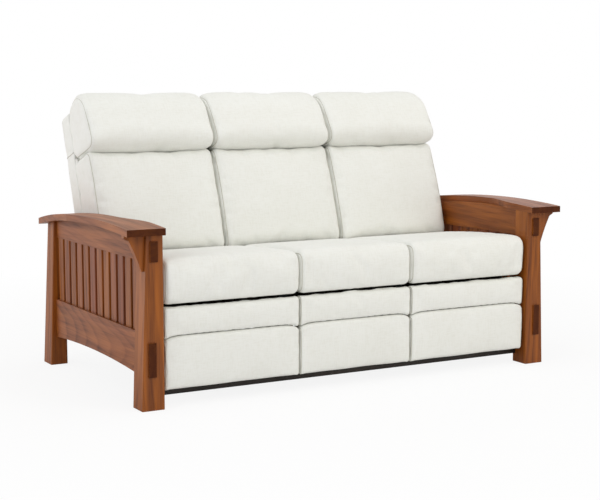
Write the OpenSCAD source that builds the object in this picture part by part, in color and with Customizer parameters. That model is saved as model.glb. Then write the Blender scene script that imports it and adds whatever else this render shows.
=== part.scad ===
// Three-seat reclining sofa: slatted hardwood sides with bowed arms, a dark base,
// and three upholstered seats that recline one by one. Millimetres, +Z up, front towards -Y.
// Lengths along Y are counted from the front faces of the front posts, and the whole is
// then shifted so that the origin lies on the floor under the middle of the sofa.

/* [Posts] */
// Width over the feet of the posts
frame_w = 1820; // [1790:1:1900]
// Front faces of the front posts to front faces of the rear posts
side_reach = 960; // [930:1:1000]
// Width of the front posts at the foot
post_w = 88; // [80:1:92]
// Depth of the front posts
post_d = 88; // [84:1:94]
// Width of the rear posts at the foot
rear_post_w = 72; // [66:1:76]
// Depth of the rear posts at the foot
rear_post_d = 92; // [84:1:100]
// How far a post's outer face leans in towards the top
taper_out = 25; // [10:1:26]
// How far a post's inner face leans out towards the top
taper_in = 1; // [0:1:10]
// How far a rear post's back leans forward towards the top
taper_back = 24; // [0:1:30]
// Chamfer along the edges of the posts
post_chamfer = 3; // [1:0.5:5]

/* [Arms] */
// Thickness of the arm tops
arm_t = 25; // [20:1:30]
// Height of the arms at the crown of the bow
arm_crown_z = 673; // [655:1:690]
// Radius of the bow
arm_r = 4285; // [3900:5:5000]
// Distance of the crown behind the front posts' front faces
arm_crown_y = 320; // [280:5:360]
// Overhang in front of the front posts
arm_front_over = 24; // [10:1:40]
// Overhang behind the rear posts
arm_rear_over = 12; // [6:1:30]
// Overhang outside the posts' feet
arm_out_over = 60; // [45:1:80]
// What is left of that overhang at the rear end
arm_tail_over = 6; // [2:1:20]
// Where the outer edge starts to run in towards the rear
arm_turn_y = 580; // [500:10:700]
// How far the inner edge steps out behind the front end
arm_waist = 44; // [30:1:50]
// Start of that step
arm_waist_start = 105; // [90:5:160]
// Length of that step
arm_waist_run = 220; // [160:10:260]
// Start of the inner edge's return towards the rear post
arm_return_start = 680; // [640:10:720]
// Thickness of the corbels
corbel_t = 25; // [18:1:30]
// Setback of the corbels behind the posts' front faces
corbel_setback = 16; // [2:1:40]
// Height at which the corbels start
corbel_z = 504; // [490:1:530]
// Width of the corbels' blunt feet
corbel_foot = 9; // [4:1:14]
// Edge of the arm that the corbels leave free
corbel_inset = 5; // [3:1:20]
// Upright edge at the outer end of a corbel
corbel_lip = 10; // [6:1:16]
// Width of the slope behind that edge
corbel_slope_w = 18; // [12:1:24]
// Height of that slope
corbel_slope_h = 10; // [6:1:16]

/* [Side rails and slats] */
// Thickness of the side rails
rail_t = 30; // [24:1:34]
// Setback of the lower rails from the outer faces of the posts' feet
lower_rail_setback = 25; // [22:1:30]
// The same for the upper rails, further in as the posts lean in
upper_rail_setback = 35; // [30:1:38]
// Underside of the upper rails
upper_rail_z = 534; // [520:1:545]
// Underside of the lower rails at their ends
lower_rail_z = 118; // [108:1:130]
// Top of the lower rails
lower_rail_top = 276; // [260:1:290]
// Rise of the arch under the lower rails
arch_rise = 17; // [8:1:24]
// Height of the upper through tenons
upper_tenon_h = 74; // [60:1:80]
// Height of the lower through tenons
lower_tenon_h = 125; // [110:1:135]
// Shoulder under each tenon
tenon_shoulder = 4; // [2:0.5:8]
// How far the tenons stand proud of the front posts
tenon_proud = 5; // [2:0.5:8]
// Length of the blind tenons in the rear posts
blind_tenon = 36; // [20:1:46]
// Width of a slat
slat_w = 52; // [44:1:56]
// Thickness of a slat
slat_t = 20; // [16:1:24]
// Eased edge of a slat
slat_ease = 2; // [1:0.5:3]
// Number of slats in a side
slat_count = 12; // [11:1:12]

/* [Base] */
// Thickness of the base rails
base_t = 26; // [22:1:28]
// Underside of the front base rail
base_z = 36; // [32:1:40]
// Height of the front base rail
base_h = 48; // [44:1:50]
// Setback of the front base rail
base_setback = 70; // [69:0.5:72]
// Height of the rear base rail, which lies on the rear ends of the seat tracks
rear_base_h = 48; // [44:1:60]
// Distance of the rear rail's bolts behind the side rails' tenons in the rear posts
rear_bolt_clear = 5; // [4:1:8]
// Width of a seat track
track_w = 22; // [20:1:24]
// Height of a seat track
track_h = 22; // [18:1:23]
// Sheet thickness of a seat track
track_sheet = 2.5; // [2:0.1:3]
// Distance of the rail bolts behind the base rails' front faces
bolt_setback = 9; // [8:0.5:10]
// Shank radius of a rail bolt
bolt_r = 3; // [2.5:0.5:4]
// Head radius of a rail bolt, over its corners
bolt_head_r = 6; // [5:0.5:6.5]
// Thickness of a rail bolt's head
bolt_head_t = 5; // [4:0.5:8]
// Length of a rail bolt's shank inside a post
bolt_grip = 40; // [30:1:50]
// Wood between a bolt's head and the end of its rail
bolt_land = 24; // [18:1:30]
// Length of the pockets for the bolts' heads
bolt_pocket_w = 30; // [20:1:40]

/* [Seats] */
// Width of the centre seat cushion
centre_w = 502; // [490:1:520]
// Gap between neighbouring seats
seat_gap = 3; // [2:0.5:6]
// Gap between an end seat and the front post beside it
seat_side_gap = 8; // [4:0.5:8]
// Front of the seat cushions
seat_front = 12; // [8:1:20]
// Rear end of the seat cushions
seat_rear = 600; // [585:1:602]
// Underside of the seat cushions
seat_z = 375; // [374.8:0.1:376]
// Height of a seat cushion at the front
seat_h = 160; // [145:1:168]
// How much lower a seat cushion is at the rear
seat_fall = 44; // [36:1:50]
// Crown of the seat cushions
seat_crown = 12; // [6:1:14]
// Radius of the seat cushions' long edges
seat_round = 30; // [20:1:40]
// Radius of the edges at the two ends of the large cushions
cushion_end_round = 24; // [16:1:30]
// How far the ends of the seat cushions are drawn in
seat_dent = 5; // [0:1:10]
// Front and rear ends of the seat frames
seat_frame_y = [88, 610];
// Height of the seat frames' rails
seat_frame_h = 40; // [36:1:42]
// Thickness of the seat frames' rails
seat_frame_t = 28; // [24:1:32]
// Width of the braces in the seat frames
brace_w = 24; // [20:1:30]
// Thickness of the spring wire
wire = 4; // [3:0.2:4]
// Number of springs under a seat
spring_count = 5; // [4:1:6]
// Width of a spring
spring_w = 48; // [40:1:56]
// Length of one bend of a spring
spring_pitch = 44; // [36:1:56]

/* [Footrests] */
// Front of the footrest and flipper pads
pad_front = 16; // [14:1:18]
// Thickness of the pads
pad_t = 40; // [36:1:41]
// Radius of the pads' edges
pad_round = 13; // [8:1:16]
// Belly of the pads, and of the seat cushions' fronts
pad_belly = 6; // [0:1:8]
// How far the ends of the pads are drawn in
pad_dent = 2; // [0:0.5:4]
// How far the seam between the footrest and flipper pads dips at its ends
pad_dip = 16; // [0:1:20]
// Underside of the footrest pads
footrest_z = 62; // [58:1:66]
// Height of the footrest pads
footrest_h = 197; // [190:1:198]
// Gap between the footrest pads and the flipper pads
pad_gap = 3; // [2:0.5:5]
// Gap between the flipper pads and the seat cushions
band_gap = 9; // [5:1:12]
// Thickness of the boards behind the pads
board_t = 12; // [10:1:12]
// How far a board stays inside its pad's edges
board_margin = 8; // [6:1:14]

/* [Backs] */
// Lean of the backs from the vertical, in degrees
back_tilt = 19; // [18:0.5:20]
// Foot of the backs' front faces, along Y
back_y = 592; // [590:1:600]
// Foot of the backs' front faces, above the floor
back_z = 470; // [468:1:476]
// Gap between neighbouring backs
back_gap = 3; // [2:0.5:6]
// How far the centre back reaches past the centre seat cushion on each side
back_step = 24; // [20:1:30]
// Setback of the outer backs from the outer faces of the posts' feet
back_side = 82; // [80:1:90]
// Foot of the back cushions, along the back
cushion_foot = 20; // [18:1:34]
// Height of the back cushions
cushion_h = 429; // [400:1:430]
// Thickness of the back cushions
cushion_t = 152; // [140:1:153]
// Belly of the back cushions
cushion_belly = 24; // [12:1:28]
// Radius of the back cushions' front edges
cushion_round = 30; // [20:1:44]
// Radius of the rear edges of the back cushions, and of the headrests at the foot
cushion_rear_round = 8; // [6:1:14]
// How far the ends of the back cushions and the headrests are drawn in
back_dent = 10; // [0:1:12]
// Foot of the headrests, along the back
headrest_foot = 451; // [450.5:0.5:460]
// Height of the headrests
headrest_h = 232; // [205:1:236]
// Crown of the headrests
headrest_crown = 24; // [16:1:40]
// Thickness of the headrests
headrest_t = 186; // [170:1:190]
// How far the fronts of the headrests lean back from foot to top
headrest_lean = 60; // [40:1:70]
// Radius of the headrests' top edges
headrest_round = 80; // [60:1:90]
// Radius of the headrests' lower front edges
headrest_foot_round = 44; // [30:1:60]
// Distance from the backs' front faces to the back frames
frame_v = 130.4; // [130.4:0.1:132]
// Thickness of the back frames
back_frame_t = 45; // [38:1:46]
// Width of the stiles in the back frames
stile_w = 28; // [24:1:34]
// Top of the back frames, along the back
back_frame_top = 636; // [600:1:640]
// Foot of the back frames, along the back
back_frame_foot = -60; // [-62:1:-50]
// Thickness of the outside backs
cover_t = 98; // [94:1:104]
// Top of the outside backs, along the back
cover_top = 660; // [655:1:670]
// Foot of the outside backs, along the back
cover_foot = -110; // [-112:1:-90]
// Thickness of the outside backs' sides
cover_wall = 12; // [8:1:14]
// Radius of the outside backs' upright edges
cover_round = 22; // [16:1:26]

/* [Mechanism] */
// Setback of the centre seat's side plates from the ends of its cushion
centre_mech_inset = 19; // [18:0.5:24]
// Setback of the end seats' side plates from the ends of their cushions
end_mech_inset = 48; // [30:0.5:54]
// Thickness of the side plates
plate_t = 4; // [3:0.5:4]
// Thickness of the links and brackets
link_t = 5; // [4:0.5:5]
// Thickness of the footrests' brackets
bracket_t = 4; // [3:0.5:5]
// Running gap between neighbouring links
link_gap = 1; // [0.8:0.1:1]
// Half the width of a link
link_r = 13; // [11:0.5:13]
// Radius of the drive pins
drive_pin_r = 6; // [5:0.5:7]
// Radius of the other link pins
link_pin_r = 5; // [4:0.5:6]
// Radial running clearance of the pins
pin_clearance = 0.05; // [0.02:0.01:0.1]
// Radius of the torque tube
tube_r = 10; // [9:0.5:11]
// Drive pivot, along Y and above the floor
drive_at = [205, 304];
// Lean of a drive link from the vertical when the footrest is shut, in degrees
drive_lean = 34; // [33:0.5:35]
// Length of a drive link
drive_l = 203; // [200:0.5:204]
// Footrest pivot when shut, along Y and above the floor
footrest_at = [82, 200];
// Distance of the flipper's pivot from the footrest's, along the fore link
flipper_back = 34; // [30:0.5:38]
// Recline pivot, along Y and above the floor
recline_at = [668, 392];
// Radius of the recline pins
recline_pin_r = 6; // [5:0.5:8]
// Radius of the metal around the recline pins
recline_boss_r = 18; // [15:1:20]
// Length of a runner
runner_l = 70; // [50:1:90]

/* [Hidden] */
$fn = 64;

// Sides of the sofa and places of the seats
left = -1;
centre = 0;
right = 1;

// Small gaps left between hard pieces that meet and round soft ones, and overrun of the cuts
joint_gap = 0.2;
soft_gap = 0.4;
overrun = 1;

// Posts and side rails, drawn for the right side and mirrored for the left
post_out = frame_w / 2;
post_in = post_out - post_w;
rear_post_in = post_out - rear_post_w;
rear_y = side_reach + rear_post_d;
mid_y = (rear_y + arm_rear_over - arm_front_over) / 2;
lower_rail_out = post_out - lower_rail_setback;
lower_rail_in = lower_rail_out - rail_t;
upper_rail_out = post_out - upper_rail_setback;
upper_rail_in = upper_rail_out - rail_t;
arm_under_r = arm_r - arm_t;
slab_t = 1;

// Seats: centres and widths of the cushions, and the same for the backs
end_seat_in = centre_w / 2 + seat_gap;
end_seat_out = post_in - seat_side_gap;
end_seat_w = end_seat_out - end_seat_in;
end_seat_x = (end_seat_in + end_seat_out) / 2;
centre_back_w = centre_w + 2 * back_step;
end_back_in = centre_back_w / 2 + back_gap;
end_back_out = post_out - back_side;
end_back_w = end_back_out - end_back_in;
end_back_x = (end_back_in + end_back_out) / 2;
function seat_w(place) = place == centre ? centre_w : end_seat_w;
function seat_x(place) = place * end_seat_x;
function back_w(place) = place == centre ? centre_back_w : end_back_w;
function back_x(place) = place * end_back_x;
function mech_half(place) =
    place == centre ? centre_w / 2 - centre_mech_inset : end_seat_w / 2 - end_mech_inset;

// Mechanism: layers across, counted from a side plate's outer face, negative towards the middle
plate_out = 0;
plate_in = plate_out - plate_t;
outer_link_out = plate_in - link_gap;
outer_link_in = outer_link_out - link_t;
fore_out = outer_link_in - link_gap;
fore_in = fore_out - link_t;
inner_link_out = fore_in - link_gap;
inner_link_in = inner_link_out - bracket_t;
pin_end = 2 * joint_gap;
drive_hole_r = drive_pin_r + pin_clearance;
link_hole_r = link_pin_r + pin_clearance;
recline_hole_r = recline_pin_r + pin_clearance;

// Mechanism: places of the pivots when the footrest is shut
elbow_at = drive_at + drive_l * [sin(drive_lean), -cos(drive_lean)];
fore_span = footrest_at - elbow_at;
fore_l = norm(fore_span);
flipper_at = footrest_at - flipper_back * fore_span / fore_l;

// Height of the tops of the tracks' walls and of the side plates' lower edges
track_z = base_z + base_h;
track_top = track_z + track_h;
plate_z = track_top + link_gap + link_gap;
seat_frame_top = seat_z - wire - soft_gap - joint_gap;
seat_frame_z = seat_frame_top - seat_frame_h;
flipper_z = footrest_z + footrest_h + pad_gap;
flipper_h = seat_z - band_gap - flipper_z;

// Whole model shifted so that the origin is under the middle of the sofa
module placed() {
    translate([0, -mid_y, 0])
        children();
}

// Something drawn for the right side, put on either side
module sided(side) {
    if (side < 0)
        mirror([1, 0, 0])
            children();
    else
        children();
}

// Both sides of a seat's mechanism, each drawn with X counted from the side plate's outer face
module on_sides(place) {
    translate([seat_x(place), 0, 0])
        for (side = [left, right])
            sided(side)
                translate([mech_half(place), 0, 0])
                    children();
}

// Outline in the YZ plane, pushed through from x0 to x1
module across(x0, x1) {
    translate([x0, 0, 0])
        rotate([90, 0, 90])
            linear_extrude(height = x1 - x0)
                children();
}

// Round bar along X, centred on a point of the YZ plane
module bar(x0, x1, r, at) {
    translate([x0, at[0], at[1]])
        rotate([0, 90, 0])
            cylinder(r = r, h = x1 - x0);
}

// Rectangular block between two corners
module block(low, high) {
    translate(low)
        cube(high - low);
}

// Solid under the bow: a large round bar along X through the whole side
module bow(r) {
    bar(0, frame_w, r, [arm_crown_y, arm_crown_z - arm_r], $fn = 360);
}

// Height of the arm's underside at a place along Y
function under_arm(y) = arm_crown_z - arm_r + sqrt(pow(arm_under_r, 2) - pow(y - arm_crown_y, 2));

// Rectangle with its corners cut off, and a soft start and stop between 0 and 1
function chamfered(w, d, c) =
    [[c, 0], [w - c, 0], [w, c], [w, d - c], [w - c, d], [c, d], [0, d - c], [0, c]];
function ease(t) = t * t * (3 - 2 * t);

// Thin slice of a post
module slab(x, y, z, w, d) {
    translate([x, y, z])
        linear_extrude(height = slab_t)
            polygon(chamfered(w, d, post_chamfer));
}

// Tapered post, cut to the arm's underside
module post_blank(w, y, d, back) {
    intersection() {
        hull() {
            slab(post_out - w, y, 0, w, d);
            slab(post_out - w + taper_in, y, arm_crown_z, w - taper_in - taper_out, d - back);
        }
        bow(arm_under_r - joint_gap);
    }
}

// Mortises for the two rails' tenons, from y0 to y1
module mortises(y0, y1) {
    block([lower_rail_in - joint_gap, y0, lower_rail_z + tenon_shoulder - joint_gap],
          [lower_rail_out + joint_gap, y1, lower_rail_z + tenon_shoulder + lower_tenon_h + joint_gap]);
    block([upper_rail_in - joint_gap, y0, upper_rail_z + tenon_shoulder - joint_gap],
          [upper_rail_out + joint_gap, y1, upper_rail_z + tenon_shoulder + upper_tenon_h + joint_gap]);
}

module front_post(side) {
    color("#7E4A2C")
        placed()
            sided(side)
                difference() {
                    post_blank(post_w, 0, post_d, 0);
                    mortises(-overrun, post_d + overrun);
                    bolt_holes(post_in, front_bolt_y, front_bolt_z);
                }
}

module rear_post(side) {
    color("#7E4A2C")
        placed()
            sided(side)
                difference() {
                    post_blank(rear_post_w, side_reach, rear_post_d, taper_back);
                    mortises(side_reach - overrun, side_reach + blind_tenon + joint_gap);
                    bolt_holes(rear_post_in, rear_bolt_y, rear_bolt_z);
                }
}

// Side rail's outline between the posts, with a through and a blind tenon
module rail_outline(low, high, tenon_h) {
    front = post_d + joint_gap;
    back = side_reach - joint_gap;
    tenon_low = low + tenon_shoulder;
    tenon_high = tenon_low + tenon_h;
    polygon([
        [front, low], [back, low], [back, tenon_low],
        [side_reach + blind_tenon, tenon_low], [side_reach + blind_tenon, tenon_high],
        [back, tenon_high], [back, high], [front, high], [front, tenon_high],
        [-tenon_proud, tenon_high], [-tenon_proud, tenon_low], [front, tenon_low]
    ]);
}

module lower_rail(side) {
    half = (side_reach - post_d) / 2;
    arch_r = (half * half + arch_rise * arch_rise) / (2 * arch_rise);
    arch_at = [post_d + half, lower_rail_z + arch_rise - arch_r];
    color("#8A5A3C")
        placed()
            sided(side)
                difference() {
                    across(lower_rail_in, lower_rail_out)
                        rail_outline(lower_rail_z, lower_rail_top, lower_tenon_h);
                    intersection() {
                        bar(lower_rail_in - overrun, lower_rail_out + overrun, arch_r, arch_at, $fn = 360);
                        block([lower_rail_in - overrun, post_d, 0],
                              [lower_rail_out + overrun, side_reach, arm_crown_z]);
                    }
                }
}

module upper_rail(side) {
    color("#8A5A3C")
        placed()
            sided(side)
                intersection() {
                    across(upper_rail_in, upper_rail_out)
                        rail_outline(upper_rail_z, arm_crown_z, upper_tenon_h);
                    bow(arm_under_r - joint_gap);
                }
}

module slats(side) {
    room = side_reach - post_d - slat_count * slat_w;
    gap = room / (slat_count + 1);
    x = (lower_rail_in + upper_rail_out - slat_t) / 2;
    color("#94705F")
        placed()
            sided(side)
                for (i = [0 : slat_count - 1])
                    translate([x, post_d + gap + i * (slat_w + gap), lower_rail_top + joint_gap])
                        linear_extrude(height = upper_rail_z - lower_rail_top - 2 * joint_gap)
                            polygon(chamfered(slat_t, slat_w, slat_ease));
}

// Arm top's outline from above: the inner edge steps out behind the front end and
// comes back to the rear post, and the outer edge runs in towards the rear end
module arm_outline() {
    steps = 10;
    waist_x = post_in + arm_waist;
    tail_y = rear_y + arm_rear_over;
    return_y = side_reach - post_d / 2;
    inner_front = [
        for (i = [0 : steps])
            [post_in + arm_waist * ease(i / steps), arm_waist_start + arm_waist_run * i / steps]
    ];
    inner_rear = [
        for (i = [0 : steps])
            [waist_x + (rear_post_in - waist_x) * ease(i / steps),
             arm_return_start + (return_y - arm_return_start) * i / steps]
    ];
    polygon(concat(
        [[post_in, -arm_front_over]],
        inner_front,
        inner_rear,
        [[rear_post_in, tail_y], [post_out + arm_tail_over, tail_y],
         [post_out + arm_out_over, arm_turn_y], [post_out + arm_out_over, -arm_front_over]]
    ));
}

module arm_top(side) {
    color("#9A6E4E")
        placed()
            sided(side)
                intersection() {
                    linear_extrude(height = arm_crown_z + overrun)
                        arm_outline();
                    difference() {
                        bow(arm_r);
                        translate([-overrun, 0, 0])
                            bar(0, frame_w + 2 * overrun, arm_under_r,
                                [arm_crown_y, arm_crown_z - arm_r], $fn = 360);
                    }
                }
}

// Bracket under the arm's overhang, its outer edge slightly hollow and its foot blunt
module corbel(side) {
    lean = taper_out / arm_crown_z;
    tip_x = post_out + arm_out_over - corbel_inset;
    tip_z = under_arm(0) - corbel_lip;
    foot_x = post_out - lean * corbel_z + joint_gap;
    edge_x = foot_x + corbel_foot;
    run = tip_x - corbel_slope_w - edge_x;
    rise = tip_z - corbel_slope_h - corbel_z;
    steps = 8;
    hollow_share = 0.06;
    color("#7E4A2C")
        placed()
            sided(side)
                intersection() {
                    translate([0, corbel_setback + corbel_t, 0])
                        rotate([90, 0, 0])
                            linear_extrude(height = corbel_t)
                                polygon(concat(
                                    [[foot_x - lean * (arm_crown_z - corbel_z), arm_crown_z]],
                                    [[foot_x, corbel_z]],
                                    [for (i = [0 : steps])
                                        [edge_x + run * (i / steps - hollow_share * sin(180 * i / steps)),
                                         corbel_z + rise * i / steps]],
                                    [[tip_x, tip_z], [tip_x, arm_crown_z]]
                                ));
                    bow(arm_under_r - joint_gap);
                }
}

// Base rails, with pockets near each end for the heads of the bolts into the posts
front_bolt_y = base_setback + bolt_setback;
rear_bolt_y = side_reach + blind_tenon + rear_bolt_clear;
rear_base_y = rear_bolt_y - bolt_setback;
front_bolt_z = [base_z + base_h / 4, base_z + base_h * 3 / 4];
rear_base_z = track_top + joint_gap;
rear_bolt_z = [rear_base_z + rear_base_h / 4, rear_base_z + rear_base_h * 3 / 4];
bolt_hole_r = bolt_r + pin_clearance;

module base_rail(post_x, y, low, h, bolt_z) {
    end = post_x - joint_gap;
    pocket = end - bolt_land;
    pocket_r = bolt_head_r + overrun;
    bolt_y = y + bolt_setback;
    color("#2A221B")
        placed()
            difference() {
                block([-end, y, low], [end, y + base_t, low + h]);
                for (side = [left, right], z = bolt_z)
                    sided(side) {
                        bar(pocket - overrun, end + overrun, bolt_hole_r, [bolt_y, z]);
                        block([pocket - bolt_pocket_w, bolt_y - pocket_r, z - pocket_r],
                              [pocket, y + base_t + overrun, z + pocket_r]);
                    }
            }
}

module front_base_rail() base_rail(post_in, base_setback, base_z, base_h, front_bolt_z);
module rear_base_rail() base_rail(rear_post_in, rear_base_y, rear_base_z, rear_base_h, rear_bolt_z);

// Holes in a post for its two rail bolts
module bolt_holes(post_x, y, bolt_z) {
    for (z = bolt_z)
        bar(post_x - bolt_land, post_x + bolt_grip + joint_gap, bolt_hole_r, [y, z]);
}

module rail_bolt(post_x, at) {
    seat = post_x - bolt_land - 2 * joint_gap;
    bar(seat - bolt_head_t, seat, bolt_head_r - joint_gap, at, $fn = 6);
    bar(seat - bolt_head_t / 2, post_x + bolt_grip, bolt_r, at);
}

module rail_bolts() {
    color("#8C8C88")
        placed()
            for (side = [left, right])
                sided(side) {
                    for (z = front_bolt_z)
                        rail_bolt(post_in, [front_bolt_y, z]);
                    for (z = rear_bolt_z)
                        rail_bolt(rear_post_in, [rear_bolt_y, z]);
                }
}

// Channel that a seat's runners slide in
track_in = plate_out - track_sheet + joint_gap * 2;
module seat_tracks() {
    x0 = track_in;
    x1 = x0 + track_w;
    front = base_setback + 2 * overrun;
    back = rear_base_y + base_t - 2 * overrun;
    color("#55585C")
        placed()
            for (place = [left, centre, right])
                on_sides(place)
                    difference() {
                        block([x0, front, track_z + joint_gap], [x1, back, track_top]);
                        block([x0 + track_sheet, front - overrun, track_z + joint_gap + track_sheet],
                              [x1 - track_sheet, back + overrun, track_top + overrun]);
                    }
}

// Side plate of the mechanism, with a foot on each runner and arms to the pivots
module side_plates(place) {
    runner_x0 = track_in + track_sheet + 2 * joint_gap;
    runner_x1 = track_in + track_w - track_sheet - 2 * joint_gap;
    plate_front = drive_at[0] - 4 * link_r;
    plate_rear = recline_at[0] - recline_boss_r;
    plate_top = seat_frame_top - 4 * joint_gap;
    foot_h = 3 * link_r;
    runner_y = [plate_front + link_r, plate_rear - link_r - runner_l];
    color("#6A6E73")
        placed()
            on_sides(place) {
                difference() {
                    union() {
                        across(plate_in, plate_out)
                            polygon([
                                [plate_front, plate_z], [plate_rear - link_r, plate_z],
                                [plate_rear, seat_frame_z - link_r], [plate_rear, recline_at[1]],
                                [recline_at[0], recline_at[1] + recline_boss_r],
                                [plate_rear - 2 * recline_boss_r, plate_top],
                                [plate_front, plate_top]
                            ]);
                        bar(plate_in, plate_out, recline_boss_r, recline_at);
                        bar(outer_link_in - link_gap, plate_out, recline_pin_r, recline_at);
                        for (y = runner_y)
                            block([plate_out - overrun, y, plate_z],
                                  [runner_x1, y + runner_l, plate_z + link_r]);
                    }
                    across(plate_in - overrun, plate_out + overrun)
                        polygon([
                            [drive_at[0] + 3 * link_r, plate_z + foot_h],
                            [plate_rear - 4 * link_r, plate_z + foot_h],
                            [plate_rear - 4 * link_r, seat_frame_z - 2 * link_r],
                            [drive_at[0] + 3 * link_r + foot_h, seat_frame_z - 2 * link_r]
                        ]);
                    bar(plate_in - overrun, plate_out + overrun, drive_hole_r, drive_at);
                }
                for (y = runner_y)
                    block([runner_x0, y, track_z + joint_gap + track_sheet + joint_gap],
                          [runner_x1, y + runner_l, plate_z]);
            }
}

// Two plates with a round end on each pivot
module link_outline(a, b) {
    run = b - a;
    translate(a)
        rotate(atan2(run[1], run[0])) {
            translate([0, -link_r])
                square([norm(run), 2 * link_r]);
            circle(r = link_r);
            translate([norm(run), 0])
                circle(r = link_r);
        }
}

// Drive links, welded to the torque tube, with the pins that they turn on and the elbow pins
module drive_links(place) {
    tube_end = mech_half(place) + outer_link_in + overrun;
    color("#8E9296")
        placed() {
            translate([seat_x(place), 0, 0])
                bar(-tube_end, tube_end, tube_r, drive_at);
            on_sides(place) {
                across(outer_link_in, outer_link_out)
                    link_outline(drive_at, elbow_at);
                bar(outer_link_in, plate_out + link_gap, drive_pin_r, drive_at);
                bar(fore_in - pin_end, outer_link_out, link_pin_r, elbow_at);
            }
        }
}

// Fore links, bored for the elbow pins, with the pins that carry the footrest and the flipper
module fore_links(place) {
    color("#8E9296")
        placed()
            on_sides(place)
                difference() {
                    union() {
                        across(fore_in, fore_out)
                            link_outline(elbow_at, footrest_at);
                        bar(inner_link_in - pin_end, fore_in + overrun, link_pin_r, footrest_at);
                        bar(fore_out - overrun, outer_link_out + pin_end, link_pin_r, flipper_at);
                    }
                    bar(fore_in - overrun, fore_out + overrun, link_hole_r, elbow_at);
                }
}

// Board behind a pad
board_y = pad_front + pad_t + joint_gap;
module pad_board(place, low, h) {
    half = seat_w(place) / 2 - board_margin;
    translate([seat_x(place), 0, 0])
        block([-half, board_y, low + board_margin], [half, board_y + board_t, low + h - board_margin]);
}

// Bracket that holds a board on a pin: an outline with a round eye, between two layers
bracket_y = board_y + board_t + joint_gap;
bracket_foot = 6;
module bracket(inner, outer, at) {
    difference() {
        across(inner, outer) {
            children();
            translate(at)
                circle(r = link_r);
        }
        bar(inner - overrun, outer + overrun, link_hole_r, at);
    }
}

module footrest_board(place) {
    low = footrest_at[1] - 4 * link_r;
    top = footrest_at[1] + 2 * link_r;
    color("#B08D5E")
        placed() {
            pad_board(place, footrest_z, footrest_h);
            on_sides(place)
                bracket(inner_link_in, inner_link_out, footrest_at)
                    polygon([
                        [bracket_y, low], [bracket_y + bracket_foot, low],
                        footrest_at + link_r * [sin(45), -sin(45)],
                        footrest_at + link_r * [0, 1],
                        [bracket_y + bracket_foot, top], [bracket_y, top]
                    ]);
        }
}

module flipper_board(place) {
    low = flipper_z + board_margin;
    top = seat_frame_z - link_r;
    color("#B08D5E")
        placed() {
            pad_board(place, flipper_z, flipper_h);
            on_sides(place)
                bracket(outer_link_in, outer_link_out, flipper_at)
                    polygon([
                        [bracket_y, low],
                        flipper_at - link_r * [1, 0],
                        flipper_at + link_r * [1, 0],
                        [bracket_y + 3 * bracket_foot, low + board_margin],
                        [bracket_y + bracket_foot, top], [bracket_y, top]
                    ]);
        }
}

// Padded form: a block of width w, depth d and height h. Its long edges are rounded by the
// radii in rounds: the rear top, front top, front foot and rear foot edge. Its ends are
// rounded by end_round, apart from their rear edges. The height falls by fall towards the
// rear, crown lifts the middle of the top, belly pushes out the middle of the front, dent
// draws in the middle of the two ends, and lean carries the top of the front back. top_dip
// and foot_dip lower the top and the foot at the two ends.
arc_steps = 3;
arc_angles = [for (i = [0 : arc_steps]) 90 * i / arc_steps];
side_shares = [1 / 3, 2 / 3];
middle_shares = [-0.85, -0.4, 0.4, 0.85];
dip_power = 12;
crown_power = 12;

// Point at angle a, from 0 to 90, of corner k of a rounded rectangle with half sides u and v
function corner(k, u, v, r, a) =
    [(k == 0 || k == 3 ? 1 : -1) * (u - r), (k < 2 ? 1 : -1) * (v - r)]
    + r * [cos(90 * k + a), sin(90 * k + a)];

// Rounded rectangle as points: its corners, each with its own radius, and points along each side
function section(u, v, r) = [
    for (k = [0 : 3])
        let (n = (k + 1) % 4)
            each concat(
                [for (a = arc_angles) corner(k, u, v, r[k], a)],
                [for (t = side_shares) corner(k, u, v, r[k], 90) * (1 - t) + corner(n, u, v, r[n], 0) * t]
            )
];

// The same radius for all four long edges
function even(r) = [r, r, r, r];

// Places along X, each with how far the section is drawn in there
function stations(w, e) = concat(
    [for (a = arc_angles) [-w / 2 + e - e * cos(a), e - e * sin(a)]],
    [for (t = middle_shares) [t * (w / 2 - e), 0]],
    [for (i = [arc_steps : -1 : 0]) [w / 2 - e + e * cos(arc_angles[i]), e - e * sin(arc_angles[i])]]
);

module pad(w, d, h, rounds, end_round, fall = 0, crown = 0, belly = 0, dent = 0, lean = 0,
           top_dip = 0, foot_dip = 0) {
    rings = stations(w, end_round);
    sides = len(section(d, h, rounds));
    ring_count = len(rings);
    function bent(x, y, z) =
        let (t = 2 * x / w, p = 2 * y / d, q = 2 * z / h)
            [x - t * dent * (1 - p * p) * (1 - q * q),
             y + d / 2 - belly * (1 - t * t / 2) * (1 - q * q) * max(-p, 0) + lean * q * (1 - p) / 4,
             (1 + q) / 2 * (h - fall * (1 + p) / 2)
             + crown * (1 - pow(t, crown_power)) * (1 - p * p) * max(q, 0)
             - pow(abs(t), dip_power) * (top_dip * max(q, 0) + foot_dip * max(-q, 0))];
    points = [
        bent(-w / 2, 0, 0),
        for (ring = rings)
            let (e = ring[1])
                for (s = section(d / 2 - e / 2, h / 2 - e, rounds * (1 - e / end_round / 2)))
                    bent(ring[0], s[0] + e / 2, s[1]),
        bent(w / 2, 0, 0)
    ];
    last = len(points) - 1;
    function at(i, j) = 1 + i * sides + j % sides;
    faces = [
        for (j = [0 : sides - 1]) [0, at(0, j), at(0, j + 1)],
        for (i = [0 : ring_count - 2], j = [0 : sides - 1]) [at(i, j), at(i + 1, j), at(i + 1, j + 1)],
        for (i = [0 : ring_count - 2], j = [0 : sides - 1]) [at(i, j), at(i + 1, j + 1), at(i, j + 1)],
        for (j = [0 : sides - 1]) [last, at(ring_count - 1, j + 1), at(ring_count - 1, j)]
    ];
    polyhedron(points, faces, convexity = 4);
}

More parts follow.
